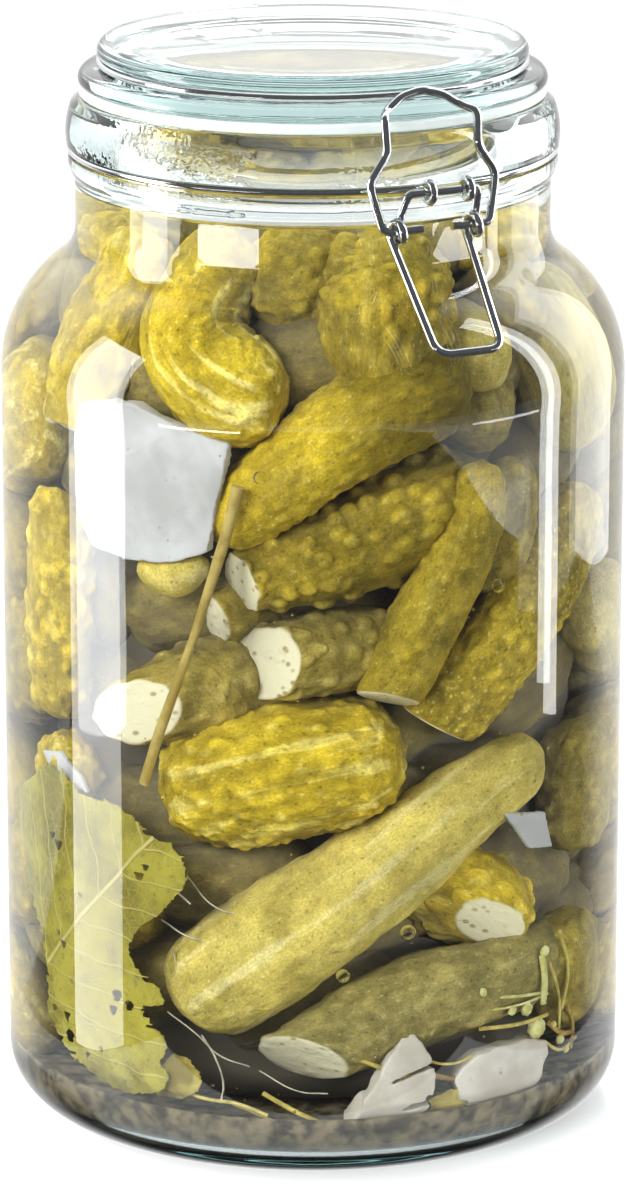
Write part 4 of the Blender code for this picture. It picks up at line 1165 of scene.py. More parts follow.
# Each gherkin: name, kind, its route as places from one end to the other, its girth, how full it is
# at even steps along its length, and which ends are cut off.
OUTLINE_STEPS = 18
SKIN_DRAW = 11
WHOLE = (False, False)
CUT_START = (True, False)
CUT_END = (False, True)
EVEN = (0.78, 0.97, 1.0, 0.97, 0.80)
GHERKINS = (
    ("curl", "ribbed",
     ((-50, 261, 45), (-57, 243, 53), (-56, 230, 63), (-46, 221, 66.5), (-31.5, 217, 66.5)),
     28, (0.78, 0.95, 1.0, 1.0, 0.92), WHOLE),
    ("dark_smooth", "two_tone", ((-50.5, 179, 66), (-30, 200.8, 67), (-10, 215.6, 67), (10, 222.5, 66)),
     27, (0.66, 0.84, 0.94, 1.0, 0.95), WHOLE),
    ("warty", "warty", ((-43, 168, 67), (-23, 175.4, 63), (-2.7, 184.7, 58), (20, 193, 50)),
     32, (0.54, 0.78, 0.95, 1.0, 0.85), CUT_START),
    ("cut_middle", "deep", ((-37.8, 145.5, 67), (-23, 148.2, 62), (-4, 149, 55)),
     25, (0.84, 0.95, 1.0, 0.95), CUT_START),
    ("slim", "smooth", ((-11.2, 135.7, 71), (-2, 160, 71), (7.3, 181, 71), (11.6, 201, 69)),
     20, (0.88, 1.0, 0.98, 0.85, 0.60), CUT_START),
    ("slim_right", "deep", ((22, 199, 64), (19.5, 181, 65), (15, 159, 61)),
     20, (0.70, 0.95, 1.0, 0.85), WHOLE),
    ("speckled", "speckled", ((0.7, 126.5, 68), (17, 147.6, 68), (34, 166, 67), (50, 183, 66)),
     27, (0.84, 0.96, 1.0, 0.98, 0.80), CUT_START),
    ("cut_left", "deep", ((-66.4, 128.4, 71.5), (-53, 136, 62), (-41, 143, 50)),
     28, (0.66, 0.92, 1.0, 0.90), CUT_START),
    ("cut_small", "smooth", ((-50, 156.5, 64), (-44, 159, 57), (-36, 162, 48)),
     17, (0.85, 1.0, 1.0, 0.8), CUT_START),
    ("barrel", "barrel", ((-65.5, 101.5, 59.5), (-33.5, 114.5, 61), (-3, 118.6, 59.5)),
     40.5, (0.58, 0.90, 1.0, 0.97, 0.80), WHOLE),
    ("club", "club",
     ((-60, 41, 62), (-39, 62, 63.5), (-9.6, 88, 66), (8.6, 103.7, 68.5), (30, 113.4, 70)),
     34, (0.88, 1.0, 0.90, 0.72, 0.58), WHOLE),
    ("lowest", "dull", ((-29.2, 32.3, 67.5), (-7.4, 47, 68), (14.8, 49, 66), (44, 50, 63)),
     25, (0.82, 1.0, 1.0, 0.95, 0.8), CUT_START),
    ("bumpy_short", "bright_warty", ((15.0, 66.0, 68.5), (10.5, 73.5, 63.5), (3, 84, 55)),
     31, (0.50, 0.94, 1.0, 0.9), CUT_START),
    ("warty_top", "clear_olive", ((-2, 262, 40), (-4, 247, 47), (-9.5, 227, 58), (-11, 214, 58)),
     38, (0.6, 0.86, 1.0, 0.95, 0.75), WHOLE),
    ("behind_top", "clear_olive", ((-31, 262, 38), (-33, 244, 45), (-34, 228, 51)), 27, EVEN, WHOLE),
    ("top_left", "clear_bright", ((-84, 258, 45), (-84, 230, 60), (-86, 203, 66)),
     28, (0.7, 0.95, 1.0, 0.9), CUT_END),
    ("upright_left", "bright_warty", ((-92, 187, 69.5), (-93, 153, 69.5), (-92.6, 118, 69.5)),
     22, EVEN, WHOLE),
    ("small_left", "barrel", ((-83, 112, 70), (-90, 106, 68), (-100, 98, 66)), 20, EVEN, WHOLE),
    ("under_slice", "club", ((-66, 171, 70), (-57.5, 168.5, 71.5), (-49, 174, 70)),
     10, (0.6, 1.0, 1.0, 0.6), WHOLE),
    ("leaning_right", "warty", ((37, 244, 46), (33, 237, 54), (31, 221, 60)), 27, EVEN, WHOLE),
    ("pale_end_right", "club", ((17, 224.5, 71), (14, 225, 60), (9, 227, 46)),
     21, (0.82, 0.97, 1.0, 0.9), WHOLE),
    ("wedge_right", "deep", ((21, 208, 66), (17, 210, 57), (13, 214, 46)), 21, EVEN, WHOLE),
    ("large_right", "club", ((52, 238, 48), (46, 218, 61), (56, 196, 63)), 33, EVEN, WHOLE),
    ("short_right", "club", ((50, 152, 66), (64, 141, 66), (78, 127, 64)), 28, EVEN, WHOLE),
    ("low_right", "deep", ((46, 117, 66), (49, 98, 66), (47, 76, 66)), 27, EVEN, WHOLE),
    ("foot_right", "deep", ((40, 62, 66), (42, 46, 66), (46, 27, 64)), 27, EVEN, WHOLE),
    ("under_leaf", "bright_warty", ((-102, 76, 60), (-84, 72, 60), (-64, 66, 55)), 30, EVEN, WHOLE),
)
# Which way a slanted cut faces: right of the view, towards it, and up.
CUT_FACES = {
    "warty": (-0.88, 0.39, -0.25), "cut_middle": (-0.66, 0.74, 0.10), "cut_left": (-0.58, 0.80, -0.15),
    "slim": (-0.20, 0.35, -0.91), "speckled": (-0.50, 0.12, -0.86), "lowest": (-0.40, 0.66, -0.64),
    "bumpy_short": (0.30, 0.82, -0.48)}
# The topmost gherkins, which lie at the brine's surface in the neck.
TOP_GHERKINS = (
    ("top_across_1", "deep", ((-60, 252, 44), (-20, 251, 20), (60, 250, 34)), 22, EVEN, WHOLE),
    ("top_across_2", "deep", ((20, 252, 46), (100, 250, 22), (170, 249, 42)), 24, EVEN, WHOLE),
    ("top_across_3", "ribbed", ((95, 251, 46), (150, 250, 30), (200, 249, 46)), 23, EVEN, WHOLE),
    ("top_across_4", "warty", ((-100, 250, 47), (-150, 251, 24), (160, 251, 20)), 25, EVEN, WHOLE),
    ("top_across_5", "barrel", ((-150, 249, 47), (-175, 250, 42), (155, 250, 46)), 22, EVEN, WHOLE),
    ("top_right", "clear_bright", ((22, 253, 44), (50, 250, 46), (78, 247, 44)), 22, EVEN, WHOLE),
    ("top_front", "clear_olive", ((-26, 254, 47), (-16, 250, 48), (-14, 240, 50)), 19, EVEN, WHOLE),
    ("top_left_side", "clear_bright", ((-84, 252, 46), (-105, 249, 46), (-128, 245, 46)),
     22, EVEN, WHOLE),
)
# The nearest gherkins, which get one more level of detail.
FINE_GHERKINS = ("curl", "dark_smooth", "warty", "barrel", "club", "warty_top", "bumpy_short", "slim",
                 "speckled", "cut_middle")
BACK_DRAW = 7
BACK_BEARINGS = (88, 122, 156, 190, 224)
BACK_HEIGHTS = (28, 61, 94, 127, 160, 193, 224)
INNER_DRAW = 5
INNER_BEARINGS = range(-110, 111, 44)
INNER_HEIGHTS = (47, 74, 101, 130, 160, 190, 222)


def back_gherkins():
    """The far side of the heap, in rows that lean one way and then the other."""
    draw = random.Random(BACK_DRAW)
    rows = []
    for row, height in enumerate(BACK_HEIGHTS):
        for bearing in BACK_BEARINGS:
            lean = draw.uniform(6, 16) * (1 if row % 2 else -1)
            centre = bearing + draw.uniform(-5, 5) + row % 2 * 14
            middle = height + draw.uniform(-4, 4)
            size = draw.uniform(32, 38)
            distance = BODY_RADIUS - WALL - size / 2.0 - 1.5
            if row == len(BACK_HEIGHTS) - 1:
                distance -= 9.0
                lean *= 0.3
            reach = draw.uniform(19, 25)
            route = ((centre - reach, middle - lean, distance - 1), (centre, middle, distance + 1),
                     (centre + reach, middle + lean, distance - 1))
            kind = draw.choice(("warty", "ribbed", "barrel", "smooth", "bright_warty"))
            rows.append((f"back_{row}_{bearing}", kind, route, size - 2, EVEN, WHOLE))
    return rows


def inner_gherkins():
    """Gherkins half sunk in the heap's dark, shaded middle, seen in the gaps between the outer ones."""
    draw = random.Random(INNER_DRAW)
    rows = []
    for row, height in enumerate(INNER_HEIGHTS):
        for bearing in INNER_BEARINGS:
            lean = draw.uniform(-14, 14)
            centre = bearing + draw.uniform(-9, 9) + row % 2 * 22
            middle = height + draw.uniform(-6, 6)
            distance = draw.uniform(43, 49)
            route = ((centre - 28, middle - lean, distance), (centre, middle, distance + 3),
                     (centre + 28, middle + lean, distance))
            name = f"inner_{row}_{bearing + 110}"
            rows.append((name, "deep", route, draw.uniform(24, 30), EVEN, WHOLE))
    return rows


def make_core(groups):
    """The middle of the heap: a dark solid that stands for the shade deep inside it."""
    core = turned("heap_core", CORE_PROFILE, 48)
    shade_smooth(core, 60)
    # painted shade: dark browns for the heap's shaded middle
    finish = plain_wet_finish("murk", groups, (0.10, 0.085, 0.05), (0.17, 0.145, 0.09), 40.0, 0.8)
    settle(core, finish, "jar", "gherkin_skin", "pickles")


def make_dregs(groups):
    """Brown dregs that cover the jar's floor and thin out up its corner."""
    below = [point for point in inner_profile(0.25) if point[1] < 18.5]
    dregs = turned("dregs", list(DREGS_BED) + below, 96)
    soften(dregs, 1)
    apply_modifiers(dregs)
    shade_smooth(dregs, 60)
    finish = plain_wet_finish("dregs", groups, (0.035, 0.028, 0.018), (0.22, 0.175, 0.105), 190.0, 0.8,
                              most=0.0, bump=0.9)
    settle(dregs, finish, "jar", "gherkin_skin")


# ---- leaf, dill and onion ----------------------------------------------------------------------
# Outlines are rows of places on the glass: a bearing in degrees and a height.
LEAF_OUTLINE = ((-103, 94), (-98, 99), (-93.7, 102), (-88, 108), (-82, 107.5), (-78, 103), (-69, 103.6),
                (-62, 100), (-59.7, 96), (-55, 95), (-51.6, 90), (-51.7, 83.4), (-55, 78), (-57.6, 73.5),
                (-62, 69), (-64.6, 63), (-64, 58), (-60.5, 54), (-57, 51), (-57, 47.5), (-62, 45.5),
                (-60, 41), (-56.5, 38), (-56.7, 33), (-58, 30), (-55.5, 27), (-57, 22.5), (-62, 19.5),
                (-67.4, 18), (-74, 20), (-80, 24), (-85, 29), (-88.6, 35), (-89.5, 43), (-89.3, 50),
                (-92, 58), (-96.8, 68), (-100, 78), (-103, 86))
LEAF_DISTANCE = 80.6
LEAF_THICKNESS = 0.5
LEAF_FOOT = (-89.0, 49.0)   # where the middle vein starts, and where it ends
LEAF_TIP = (-58.0, 97.0)
VEIN_SCALE = 70.0           # millimetres in one unit of the leaf's UV map
SHEET_DISTANCE = 80.0       # sheets are cut out as if they lay this far from the axis
LEAF_HOLES = ((-82.5, 36, 1.4), (-81.5, 30.5, 1.6), (-64.5, 45.5, 1.3), (-67.5, 47.5, 1.6),
              (-68.5, 43.0, 1.2), (-86.5, 37.0, 0.8), (-83, 57, 1.0), (-84.5, 60, 0.7), (-84, 86, 1.3),
              (-86, 88, 0.8), (-77, 74, 0.7), (-63, 62, 0.8), (-62, 84, 1.3), (-60.5, 87, 1.0),
              (-76, 27, 0.9), (-72, 30, 0.8))
SCRAP_OUTLINE = ((-3.8, 21.0), (0.5, 23.0), (3.2, 22.2), (5.4, 25.5), (5.2, 20.5), (6.6, 15.5),
                 (3.0, 13.6), (0.6, 15.0), (-2.4, 13.6), (-2.8, 17.5))
CURLED_SCRAP_OUTLINE = ((-56, 33), (-52, 32), (-49.5, 28), (-50, 23), (-54, 20), (-60, 19), (-60, 26))
STEM_RADIUS = 1.7
STEM_ROUTE = ((-41.0, 197.5), (-43.7, 182.4), (-46.8, 168.5), (-49.6, 156.0), (-53.2, 141.8),
              (-57.2, 126.8), (-61.0, 110.5))
STEM_DISTANCE = 80.2
# Slits between the first wedge's layers, from one end to the other.
WEDGE_SLITS = (((-2.4, 31.2), (-13.0, 26.6)), ((-2.6, 21.8), (-9.0, 21.0)))
# Each onion piece: name, kind, distance from the axis, thickness, outline, and the node it replaces.
ONION_CUTS = (
    ("onion_wedge_1", "flesh", 74.3, 8.5,
     ((-20.6, 14.4), (-19.8, 12.6), (-14.0, 12.8), (-8.8, 15.6), (-4.4, 19.2), (-2.6, 22.5), (-2.3, 27.5),
      (-3.4, 32.5), (-5.6, 38.0), (-7.4, 41.2), (-8.6, 40.8), (-11.6, 35.5), (-15.0, 26.5)),
     "onion_wedge_1"),
    ("onion_wedge_2", "flesh", 73.6, 9.5,
     ((2.2, 24.5), (4.2, 28.6), (8.0, 31.6), (14.5, 32.0), (22.0, 31.6), (25.6, 29.8), (26.6, 25.4),
      (24.0, 20.4), (19.5, 15.8), (13.0, 12.9), (8.0, 13.0), (5.6, 16.0), (5.8, 20.5), (3.4, 21.0)),
     "onion_wedge_2"),
    ("onion_slice", "layer", 74.6, 4.6,
     ((-80.5, 203.0), (-78.0, 213.5), (-70.0, 215.5), (-64.0, 216.0), (-53.0, 211.5), (-43.2, 208.6),
      (-44.4, 200.0), (-46.4, 188.0), (-47.8, 177.6), (-56.0, 173.4), (-65.5, 172.5), (-75.0, 174.0),
      (-79.5, 182.0)), "onion_slice"),
    ("onion_scrap_right", "layer", 77.8, 2.2,
     ((12.4, 100.6), (24.4, 97.4), (26.6, 86.0), (19.6, 88.0), (16.4, 94.0)), None),
    ("onion_scrap_left", "layer", 76.0, 2.4,
     ((-93.0, 110.0), (-86.0, 112.0), (-79.0, 107.0), (-77.0, 102.5), (-84.0, 104.0), (-90.0, 106.5)),
     None),
)
# Dill twigs and loose threads: places (bearing, height, distance), thickness, and which finish.
TWIGS = (
    (((-57, 23, 74), (-50, 21, 76), (-41.7, 20.5, 77), (-36, 17.8, 77)), 0.55, "twig"),
    (((-37, 24, 76), (-31, 20, 78), (-25.6, 16.2, 78)), 0.75, "twig"),
    (((-44, 19, 72), (-33, 15.5, 75), (-20, 16, 77)), 0.35, "twig"),
    (((-19.6, 34.5, 74), (-13, 31, 76), (-7, 27.5, 77)), 0.7, "twig"),
    (((-4, 28, 76), (2, 25.5, 77), (9, 24, 76)), 0.8, "bark"),
    (((-6, 33, 75), (1, 30, 77), (8, 31, 76)), 0.4, "twig"),
    (((7.5, 48.2, 77), (15, 46.2, 78.5), (24.5, 44.0, 78)), 0.5, "pale"),
    (((9, 43.6, 77), (17, 43.0, 78.5), (26, 43.2, 78)), 0.4, "pale"),
    (((8, 38.5, 77), (17, 37.4, 78.5), (26, 37.0, 78)), 0.6, "twig"),
    (((24.6, 55, 77), (24.4, 48, 79), (24.0, 41, 79)), 1.1, "pale"),
    (((27, 52, 77), (29.5, 42, 78), (30.5, 31, 77)), 0.5, "twig"),
    (((31, 60, 76), (33.5, 47, 77), (32, 36, 76)), 0.6, "twig"),
    (((27, 34, 77), (32, 29, 76), (38, 27, 74)), 0.8, "bark"),
    (((26, 29, 76), (32, 24, 75), (41, 24, 72)), 0.5, "twig"),
    (((34, 36, 76), (37, 30, 75), (38, 22, 73)), 0.6, "bark"),
    (((-50, 39, 75), (-46.5, 33, 77), (-45, 26, 77), (-45.8, 20, 76)), 0.28, "thread"),
    (((-58, 44, 74), (-51, 39.5, 76), (-46, 34, 76), (-40, 31, 74)), 0.22, "thread"),
    (((-60, 70, 72), (-52, 67, 75), (-46, 66.5, 74)), 0.25, "thread"),
    (((-57, 62, 73), (-54, 55, 76), (-52, 47, 76)), 0.25, "thread"),
    (((-54, 84, 72), (-47, 76.5, 74), (-38, 74.5, 72)), 0.22, "thread"),
    (((-38, 30, 74), (-30, 25, 76), (-24, 24, 75)), 0.22, "thread"),
    (((-66, 93, 78), (-58, 84, 78), (-52, 77, 76)), 0.3, "thread"),
)
# Dill buds and bubbles: bearing, height, distance and radius.
BUDS = ((8.0, 49.4, 77.5, 1.9), (19.4, 41.0, 78.5, 1.9), (22.6, 34.2, 78, 2.9), (15.6, 41.8, 78.5, 1.3),
        (25.2, 56, 77.5, 1.5), (31.2, 27.6, 76.5, 1.5), (36.0, 22.5, 73, 1.2), (28.6, 33.0, 77, 1.0))
LARGE_BUBBLES = ((-37.2, 199.5, 78.5, 2.0), (11.5, 165.5, 79.6, 2.1), (-7.5, 69.5, 77.0, 2.2),
                 (-21.0, 58.5, 78.0, 1.9), (-67.5, 224.0, 71.0, 1.4))
BUBBLE_DRAW = 23
BUBBLE_COUNT = 260          # held against the glass
FLOATING_BUBBLES = 26
DILL_SEED_DRAW = 31
DILL_SEED_COUNT = 80


def leaf_finish(groups):
    """A wet leaf: mottled and specked, with pale branching veins."""
    material, tree, shader = new_material("leaf_skin")
    own_place = add_node(tree, "UVMap", uv_map="leaf_places")
    apart = add_node(tree, "SeparateXYZ")
    join(tree, own_place.outputs["UV"], apart.inputs["Vector"])
    wobble = add_node(tree, "TexNoise", scale=6.0, detail=2.0)
    join(tree, own_place.outputs["UV"], wobble.inputs["Vector"])
    sway = math_node(tree, "MULTIPLY", math_node(tree, "SUBTRACT", wobble.outputs["Fac"], 0.5), 0.10)
    offset = math_node(tree, "SUBTRACT", apart.outputs["X"], 0.5)
    across = math_node(tree, "ABSOLUTE", math_node(tree, "ADD", offset, math_node(
        tree, "MULTIPLY", sway, 0.25)))
    mid_vein = math_node(tree, "SUBTRACT", 1.0, ramp(tree, across, 0.004, 0.012))
    slant = math_node(tree, "SUBTRACT", math_node(tree, "ADD", apart.outputs["Y"], sway),
                      math_node(tree, "MULTIPLY", across, 0.75))
    ribs = math_node(tree, "PINGPONG", math_node(tree, "MULTIPLY", slant, 6.0), 0.5)
    side_vein = math_node(tree, "SUBTRACT", 1.0, ramp(tree, ribs, 0.012, 0.045))
    net = add_node(tree, "TexVoronoi", feature="DISTANCE_TO_EDGE", scale=26.0)
    join(tree, own_place.outputs["UV"], net.inputs["Vector"])
    net_vein = math_node(tree, "SUBTRACT", 1.0, ramp(tree, net.outputs["Distance"], 0.01, 0.06))
    veins = math_node(tree, "MAXIMUM", mid_vein, math_node(tree, "MULTIPLY", side_vein, 0.75))
    veins = math_node(tree, "MAXIMUM", veins, math_node(tree, "MULTIPLY", net_vein, 0.3))
    places = add_node(tree, "TexCoord")
    mottle = add_node(tree, "TexNoise", scale=60.0, detail=5.0, roughness=0.65)
    join(tree, places.outputs["Object"], mottle.inputs["Vector"])
    colour = mix_colours(tree, ramp(tree, mottle.outputs["Fac"], 0.35, 0.62),
                         rgb(0.19, 0.155, 0.012), rgb(0.38, 0.325, 0.030))
    specks = add_node(tree, "TexNoise", scale=420.0, detail=2.0)
    join(tree, places.outputs["Object"], specks.inputs["Vector"])
    speck = math_node(tree, "MULTIPLY", ramp(tree, specks.outputs["Fac"], 0.60, 0.72), 0.6)
    colour = mix_colours(tree, speck, colour, rgb(0.16, 0.13, 0.04))
    colour = mix_colours(tree, veins, colour, rgb(0.52, 0.45, 0.14))
    # painted shade that deepens away from the glass
    murk = use_group(tree, groups["murk"])
    join(tree, colour, murk.inputs["Color"])
    join(tree, murk.outputs["Color"], shader.inputs["Base Color"])
    relief = add_node(tree, "Bump", strength=0.6, distance=0.0008)
    join(tree, veins, relief.inputs["Height"])
    join(tree, relief.outputs["Normal"], shader.inputs["Normal"])
    shader.inputs["Roughness"].default_value = 0.5
    return material


def inside_outline(outline, bearing, height):
    """Whether a place on the glass lies within an outline."""
    within = False
    for (x1, y1), (x2, y2) in zip(outline, outline[1:] + outline[:1]):
        if (y1 > height) != (y2 > height) and bearing < (x2 - x1) * (height - y1) / (y2 - y1) + x1:
            within = not within
    return within


def in_hole(holes, bearing, height, per_degree):
    """Whether a place on the glass lies in one of a sheet's holes, which are a little three-sided."""
    for x, y, size in holes:
        uneven = 1 + 0.25 * math.sin(3 * math.atan2(height - y, bearing - x))
        if math.hypot((bearing - x) * per_degree, height - y) < size * uneven:
            return True
    return False


def cut_sheet(name, outline, step, ragged, holes, shape):
    """A grid over an outline with what lies outside it, or in a hole, cut away, laid on the glass.

    shape gives the place in millimetres for a bearing and a height."""
    low_x = min(spot[0] for spot in outline) - 1.0
    high_x = max(spot[0] for spot in outline) + 1.0
    low_y = min(spot[1] for spot in outline) - 1.0
    high_y = max(spot[1] for spot in outline) + 1.0
    per_degree = math.radians(SHEET_DISTANCE)
    columns = round((high_x - low_x) * per_degree / step)
    rows = round((high_y - low_y) / step)
    bpy.ops.object.select_all(action="DESELECT")
    bpy.ops.mesh.primitive_grid_add(x_subdivisions=columns, y_subdivisions=rows, size=2.0)
    sheet = bpy.context.object
    sheet.name = name
    for vertex in sheet.data.vertices:
        vertex.co.x = low_x + (vertex.co.x + 1) / 2 * (high_x - low_x)
        vertex.co.y = low_y + (vertex.co.y + 1) / 2 * (high_y - low_y)
        vertex.select = False
    for face in sheet.data.polygons:
        bearing, height = face.center.x, face.center.y
        waves = math.sin(height * 1.9) + math.sin(bearing * 2.3 + height) + math.sin(height * 4.1)
        shift = ragged * waves / 3
        outside = not inside_outline(outline, bearing + shift, height + shift)
        face.select = outside or in_hole(holes, bearing, height, per_degree)
    bpy.context.tool_settings.mesh_select_mode = (False, False, True)
    bpy.ops.object.mode_set(mode="EDIT")
    bpy.ops.mesh.delete(type="FACE")
    bpy.ops.mesh.select_mode(type="VERT")
    bpy.ops.mesh.select_all(action="DESELECT")
    bpy.ops.mesh.select_non_manifold()
    bpy.ops.mesh.vertices_smooth(factor=0.5, repeat=2)
    bpy.ops.object.mode_set(mode="OBJECT")
    flat = [tuple(vertex.co) for vertex in sheet.data.vertices]
    for vertex, (bearing, height, _) in zip(sheet.data.vertices, flat):
        vertex.co = shape(bearing, height) * MM
    return sheet, flat


def leaf_shape(bearing, height):
    """The leaf lies on the glass, waves a little, and curls at its lower end."""
    curl = max(0.0, (50.0 - height) / 30.0)
    wave = 0.55 * math.sin(bearing * 0.21 + height * 0.08)
    wave += 0.25 * math.sin(bearing * 0.7 - height * 0.35)
    wave += curl * (0.7 * math.sin(bearing * 0.9 + height * 0.5) - 0.9)
    return place(bearing, height, LEAF_DISTANCE + wave - 0.5 * max(0.0, 24.0 - height))


def make_leaf(finish):
    """A thin wavy leaf against the glass, with a ragged edge and a few holes."""
    leaf, flat = cut_sheet("leaf_blade", LEAF_OUTLINE, 0.55, 0.7, LEAF_HOLES, leaf_shape)
    per_degree = math.radians(LEAF_DISTANCE)
    foot = Vector((LEAF_FOOT[0] * per_degree, LEAF_FOOT[1]))
    way = Vector((LEAF_TIP[0] * per_degree, LEAF_TIP[1])) - foot
    own = leaf.data.uv_layers.new(name="leaf_places")
    for loop in leaf.data.loops:
        bearing, height, _ = flat[loop.vertex_index]
        spot = Vector((bearing * per_degree, height)) - foot
        along = spot.dot(way) / way.length
        across = (spot.x * way.y - spot.y * way.x) / way.length
        own.data[loop.index].uv = (0.5 + across / VEIN_SCALE, along / VEIN_SCALE)
    thicken(leaf, LEAF_THICKNESS)
    apply_modifiers(leaf)
    shade_smooth(leaf, 60)
    settle(leaf, finish, "jar", "leaf_green", "leaf")


def make_scraps(finish):
    """Two browned scraps of leaf lying by the foot."""
    for name, outline, distance in (("leaf_scrap", SCRAP_OUTLINE, 78.6),
                                    ("curled_scrap", CURLED_SCRAP_OUTLINE, 77.2)):
        def shape(bearing, height, distance=distance):
            wave = 0.8 * math.sin(bearing * 0.6 + height * 0.4)
            return place(bearing, height, distance + wave - 0.5 * max(0.0, 22.0 - height))
        scrap, _ = cut_sheet(name, outline, 0.5, 0.5, (), shape)
        thicken(scrap, LEAF_THICKNESS)
        apply_modifiers(scrap)
        shade_smooth(scrap, 60)
        settle(scrap, finish, "jar", "leaf_green")


def make_stem(finish):
    """The dill stem that leans against the glass, with a thicker head where it was cut."""
    spots = [place(bearing, height, STEM_DISTANCE) for bearing, height in STEM_ROUTE]
    route = []
    for index in range(len(spots) - 1):
        for step in range(6):
            route.append(spots[index].lerp(spots[index + 1], step / 6))
    route.append(spots[-1])
    last = len(route) - 1
    thickness = [0.80 + 0.30 * math.exp(-step / last * 12) + 0.10 * math.sin(step / last * 9)
                 for step in range(last + 1)]
    stem = tube("dill_stalk", route, STEM_RADIUS, taper=thickness)
    settle(stem, finish, "jar", "stalk_brown", "dill_stem")


def make_twigs(finishes):
    """Dill twigs, flower stalks and loose threads near the foot."""
    for index, (spots, thickness, kind) in enumerate(TWIGS):
        guide, _ = guide_curve("twig_guide", [place(*spot) for spot in spots])
        guide.data.bevel_depth = thickness * MM
        guide.data.bevel_resolution = 2
        guide.data.resolution_u = 10
        guide.data.use_fill_caps = True
        select_only(guide)
        bpy.ops.object.convert(target="MESH")
        twig = bpy.context.object
        twig.name = f"dill_{kind}_{index + 1}"
        shade_smooth(twig, 60)
        settle(twig, finishes[kind], "jar", "stalk_brown")
    for index, (bearing, height, distance, radius) in enumerate(BUDS):
        bpy.ops.object.select_all(action="DESELECT")
        bpy.ops.mesh.primitive_ico_sphere_add(subdivisions=3, radius=radius * MM)
        bud = bpy.context.object
        bud.name = f"dill_bud_{index + 1}"
        middle = place(bearing, height, distance) * MM
        for vertex in bud.data.vertices:
            ripple = 1.0 + 0.12 * math.sin(vertex.co.x / MM * 4 + index) * math.sin(vertex.co.z / MM * 3)
            vertex.co = middle + vertex.co * ripple
        bud.location = (0, 0, 0)
        shade_smooth(bud, 60)
        settle(bud, finishes["pale"], "jar", "leaf_green")


def make_onion(finishes):
    """Onion wedges by the foot, a thick layer higher up, and small scraps."""
    for name, kind, distance, thickness, outline, node in ONION_CUTS:
        slits = WEDGE_SLITS if name == "onion_wedge_1" else ()
        bulge = 1.2 if kind == "flesh" else 0.0
        middle_x = sum(spot[0] for spot in outline) / len(outline)
        middle_y = sum(spot[1] for spot in outline) / len(outline)

        def shape(bearing, height):
            away = math.hypot((bearing - middle_x) * 1.4, height - middle_y) / 16.0
            tuck = 0.55 * max(0.0, 22.0 - height)
            ripple = 0.18 * math.sin(bearing * 0.9 + height * 0.35)
            return place(bearing, height, distance + bulge * max(0.0, 1 - away ** 2) + ripple - tuck)
        holes = []
        for (x1, y1), (x2, y2) in slits:
            for step in range(30):
                part = step / 29
                holes.append((x1 + (x2 - x1) * part, y1 + (y2 - y1) * part, 0.55 - 0.3 * part))
        piece, _ = cut_sheet(name + "_flesh", outline, 0.5, 0.0, holes, shape)
        thicken(piece, thickness)
        even = piece.modifiers.new("even", "REMESH")
        even.mode = "VOXEL"
        even.voxel_size = 0.42 * MM
        soft = piece.modifiers.new("soft_edges", "SMOOTH")
        soft.factor = 0.5
        soft.iterations = 4
        apply_modifiers(piece)
        shade_smooth(piece, 60)
        settle(piece, finishes[kind], "jar", "onion_white", *([node] if node else []))


def bubble_ball(subdivisions):
    """A ball of unit radius, to be copied for each bubble or seed."""
    bpy.ops.object.select_all(action="DESELECT")
    bpy.ops.mesh.primitive_ico_sphere_add(subdivisions=subdivisions, radius=1.0)
    return bpy.context.object


def gather(name, spots, finish, material_slot, flat, draw):
    """Many small balls, each flattened its own way, joined into one piece."""
    small = bubble_ball(2)
    large = bubble_ball(4)
    pieces = []
    for bearing, height, distance, radius in spots:
        first = small if radius < 1 else large
        piece = first.copy()
        piece.data = first.data.copy()
        middle = Matrix.Translation(place(bearing, height, distance - radius) * MM)
        axis = Vector((draw.uniform(-1, 1), draw.uniform(-1, 1), draw.uniform(0.2, 1)))
        squeeze = Matrix.Scale(flat, 4, axis.normalized())
        piece.data.transform(middle @ squeeze @ Matrix.Scale(radius * MM, 4))
        bpy.context.scene.collection.objects.link(piece)
        pieces.append(piece)
    bpy.data.objects.remove(small)
    bpy.data.objects.remove(large)
    bpy.ops.object.select_all(action="DESELECT")
    for piece in pieces:
        piece.select_set(True)
    bpy.context.view_layer.objects.active = pieces[0]
    bpy.ops.object.join()
    joined = bpy.context.object
    joined.name = name
    shade_smooth(joined, 80)
    settle(joined, finish, "jar", material_slot)


def make_bubbles(finish):
    """Air bubbles held against the inside of the glass, and a few afloat."""
    draw = random.Random(BUBBLE_DRAW)
    spots = list(LARGE_BUBBLES)
    for _ in range(BUBBLE_COUNT):
        height = draw.uniform(20, 208)
        bearing = draw.uniform(-85, 62)
        spots.append((bearing, height, BODY_RADIUS - WALL - 0.45, draw.choice((0.22, 0.3, 0.42))))
    for _ in range(FLOATING_BUBBLES):
        bearing = draw.uniform(-60, 60)
        spots.append((bearing, BRINE_LEVEL - 0.9, draw.uniform(30, 56), draw.uniform(0.4, 0.9)))
    gather("bubbles", spots, finish, "clear_glass", 1.0, draw)


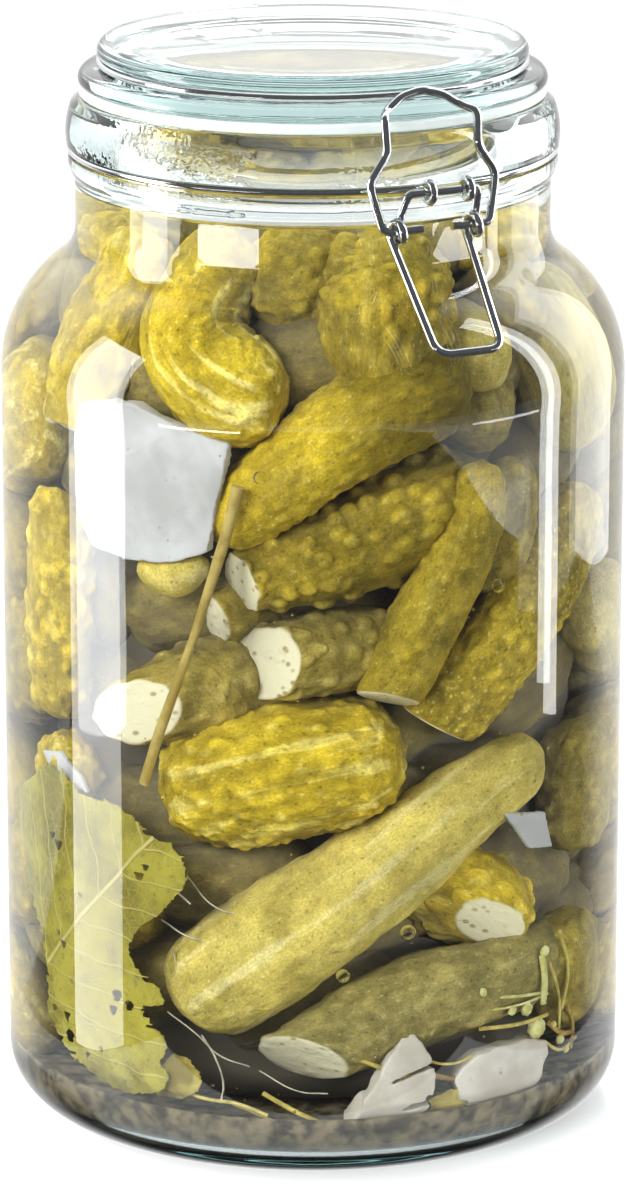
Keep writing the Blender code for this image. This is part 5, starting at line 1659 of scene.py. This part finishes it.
def make_seeds(finish):
    """Dill seeds lying in the dregs round the foot."""
    draw = random.Random(DILL_SEED_DRAW)
    spots = []
    for _ in range(DILL_SEED_COUNT):
        distance = draw.uniform(60, 79)
        height = float(np.interp(distance, (60, 66, 72, 76.5, 79.5), (9.4, 8.9, 9.2, 11.2, 14.6)))
        radius = draw.uniform(0.6, 0.98)
        spots.append((draw.uniform(-180, 180), height + radius * 0.3, distance + radius, radius))
    gather("seeds", spots, finish, "gherkin_skin", 0.55, draw)


def main():
    """Set the stage, dress each part of the jar, and fill it."""
    make_camera()
    make_lights()
    make_world()
    make_floor()
    make_flags()
    groups = {"murk": murk_group(), "skin": skin_group()}

    def wet(name, low, high, scale, **values):
        return plain_wet_finish(name, groups, low, high, scale, **values)

    make_jar(glass_finish("clear_glass", JAR_TINT))
    make_lid(glass_finish("lid_glass", LID_TINT))
    make_seal(seal_finish())
    make_brine(brine_finish())
    steel = wire_finish()
    make_neck_wire(steel)
    make_lid_wire(steel)
    make_lever(steel)
    make_bail(steel)
    kit = gherkin_kit(groups)
    make_core(groups)
    make_dregs(groups)
    for row in GHERKINS + TOP_GHERKINS:
        make_gherkin(*row, kit, levels=3 if row[0] in FINE_GHERKINS else 2)
    for row in back_gherkins():
        make_gherkin(*row, kit, steps=16)
    for row in inner_gherkins():
        make_gherkin(*row, kit, levels=1)
    make_leaf(leaf_finish(groups))
    make_scraps(wet("scrap_skin", (0.20, 0.15, 0.03), (0.52, 0.42, 0.10), 120.0))
    make_stem(wet("stalk", (0.34, 0.24, 0.05), (0.52, 0.39, 0.12), 160.0))
    make_twigs({"twig": wet("twig", (0.34, 0.27, 0.06), (0.62, 0.50, 0.14), 200.0),
                "bark": wet("bark", (0.22, 0.13, 0.03), (0.45, 0.28, 0.06), 200.0),
                "pale": wet("pale_stalk", (0.46, 0.42, 0.13), (0.72, 0.68, 0.33), 200.0),
                "thread": wet("thread", (0.30, 0.27, 0.20), (0.55, 0.51, 0.40), 200.0)})
    make_onion({"flesh": wet("onion_flesh", (0.50, 0.44, 0.36), (0.66, 0.615, 0.54), 60.0),
                "layer": wet("onion_layer", (0.44, 0.43, 0.42), (0.60, 0.595, 0.60), 45.0)})
    make_seeds(wet("seed_skin", (0.12, 0.085, 0.03), (0.40, 0.29, 0.10), 300.0, most=0.0))
    make_bubbles(bubble_finish())


main()
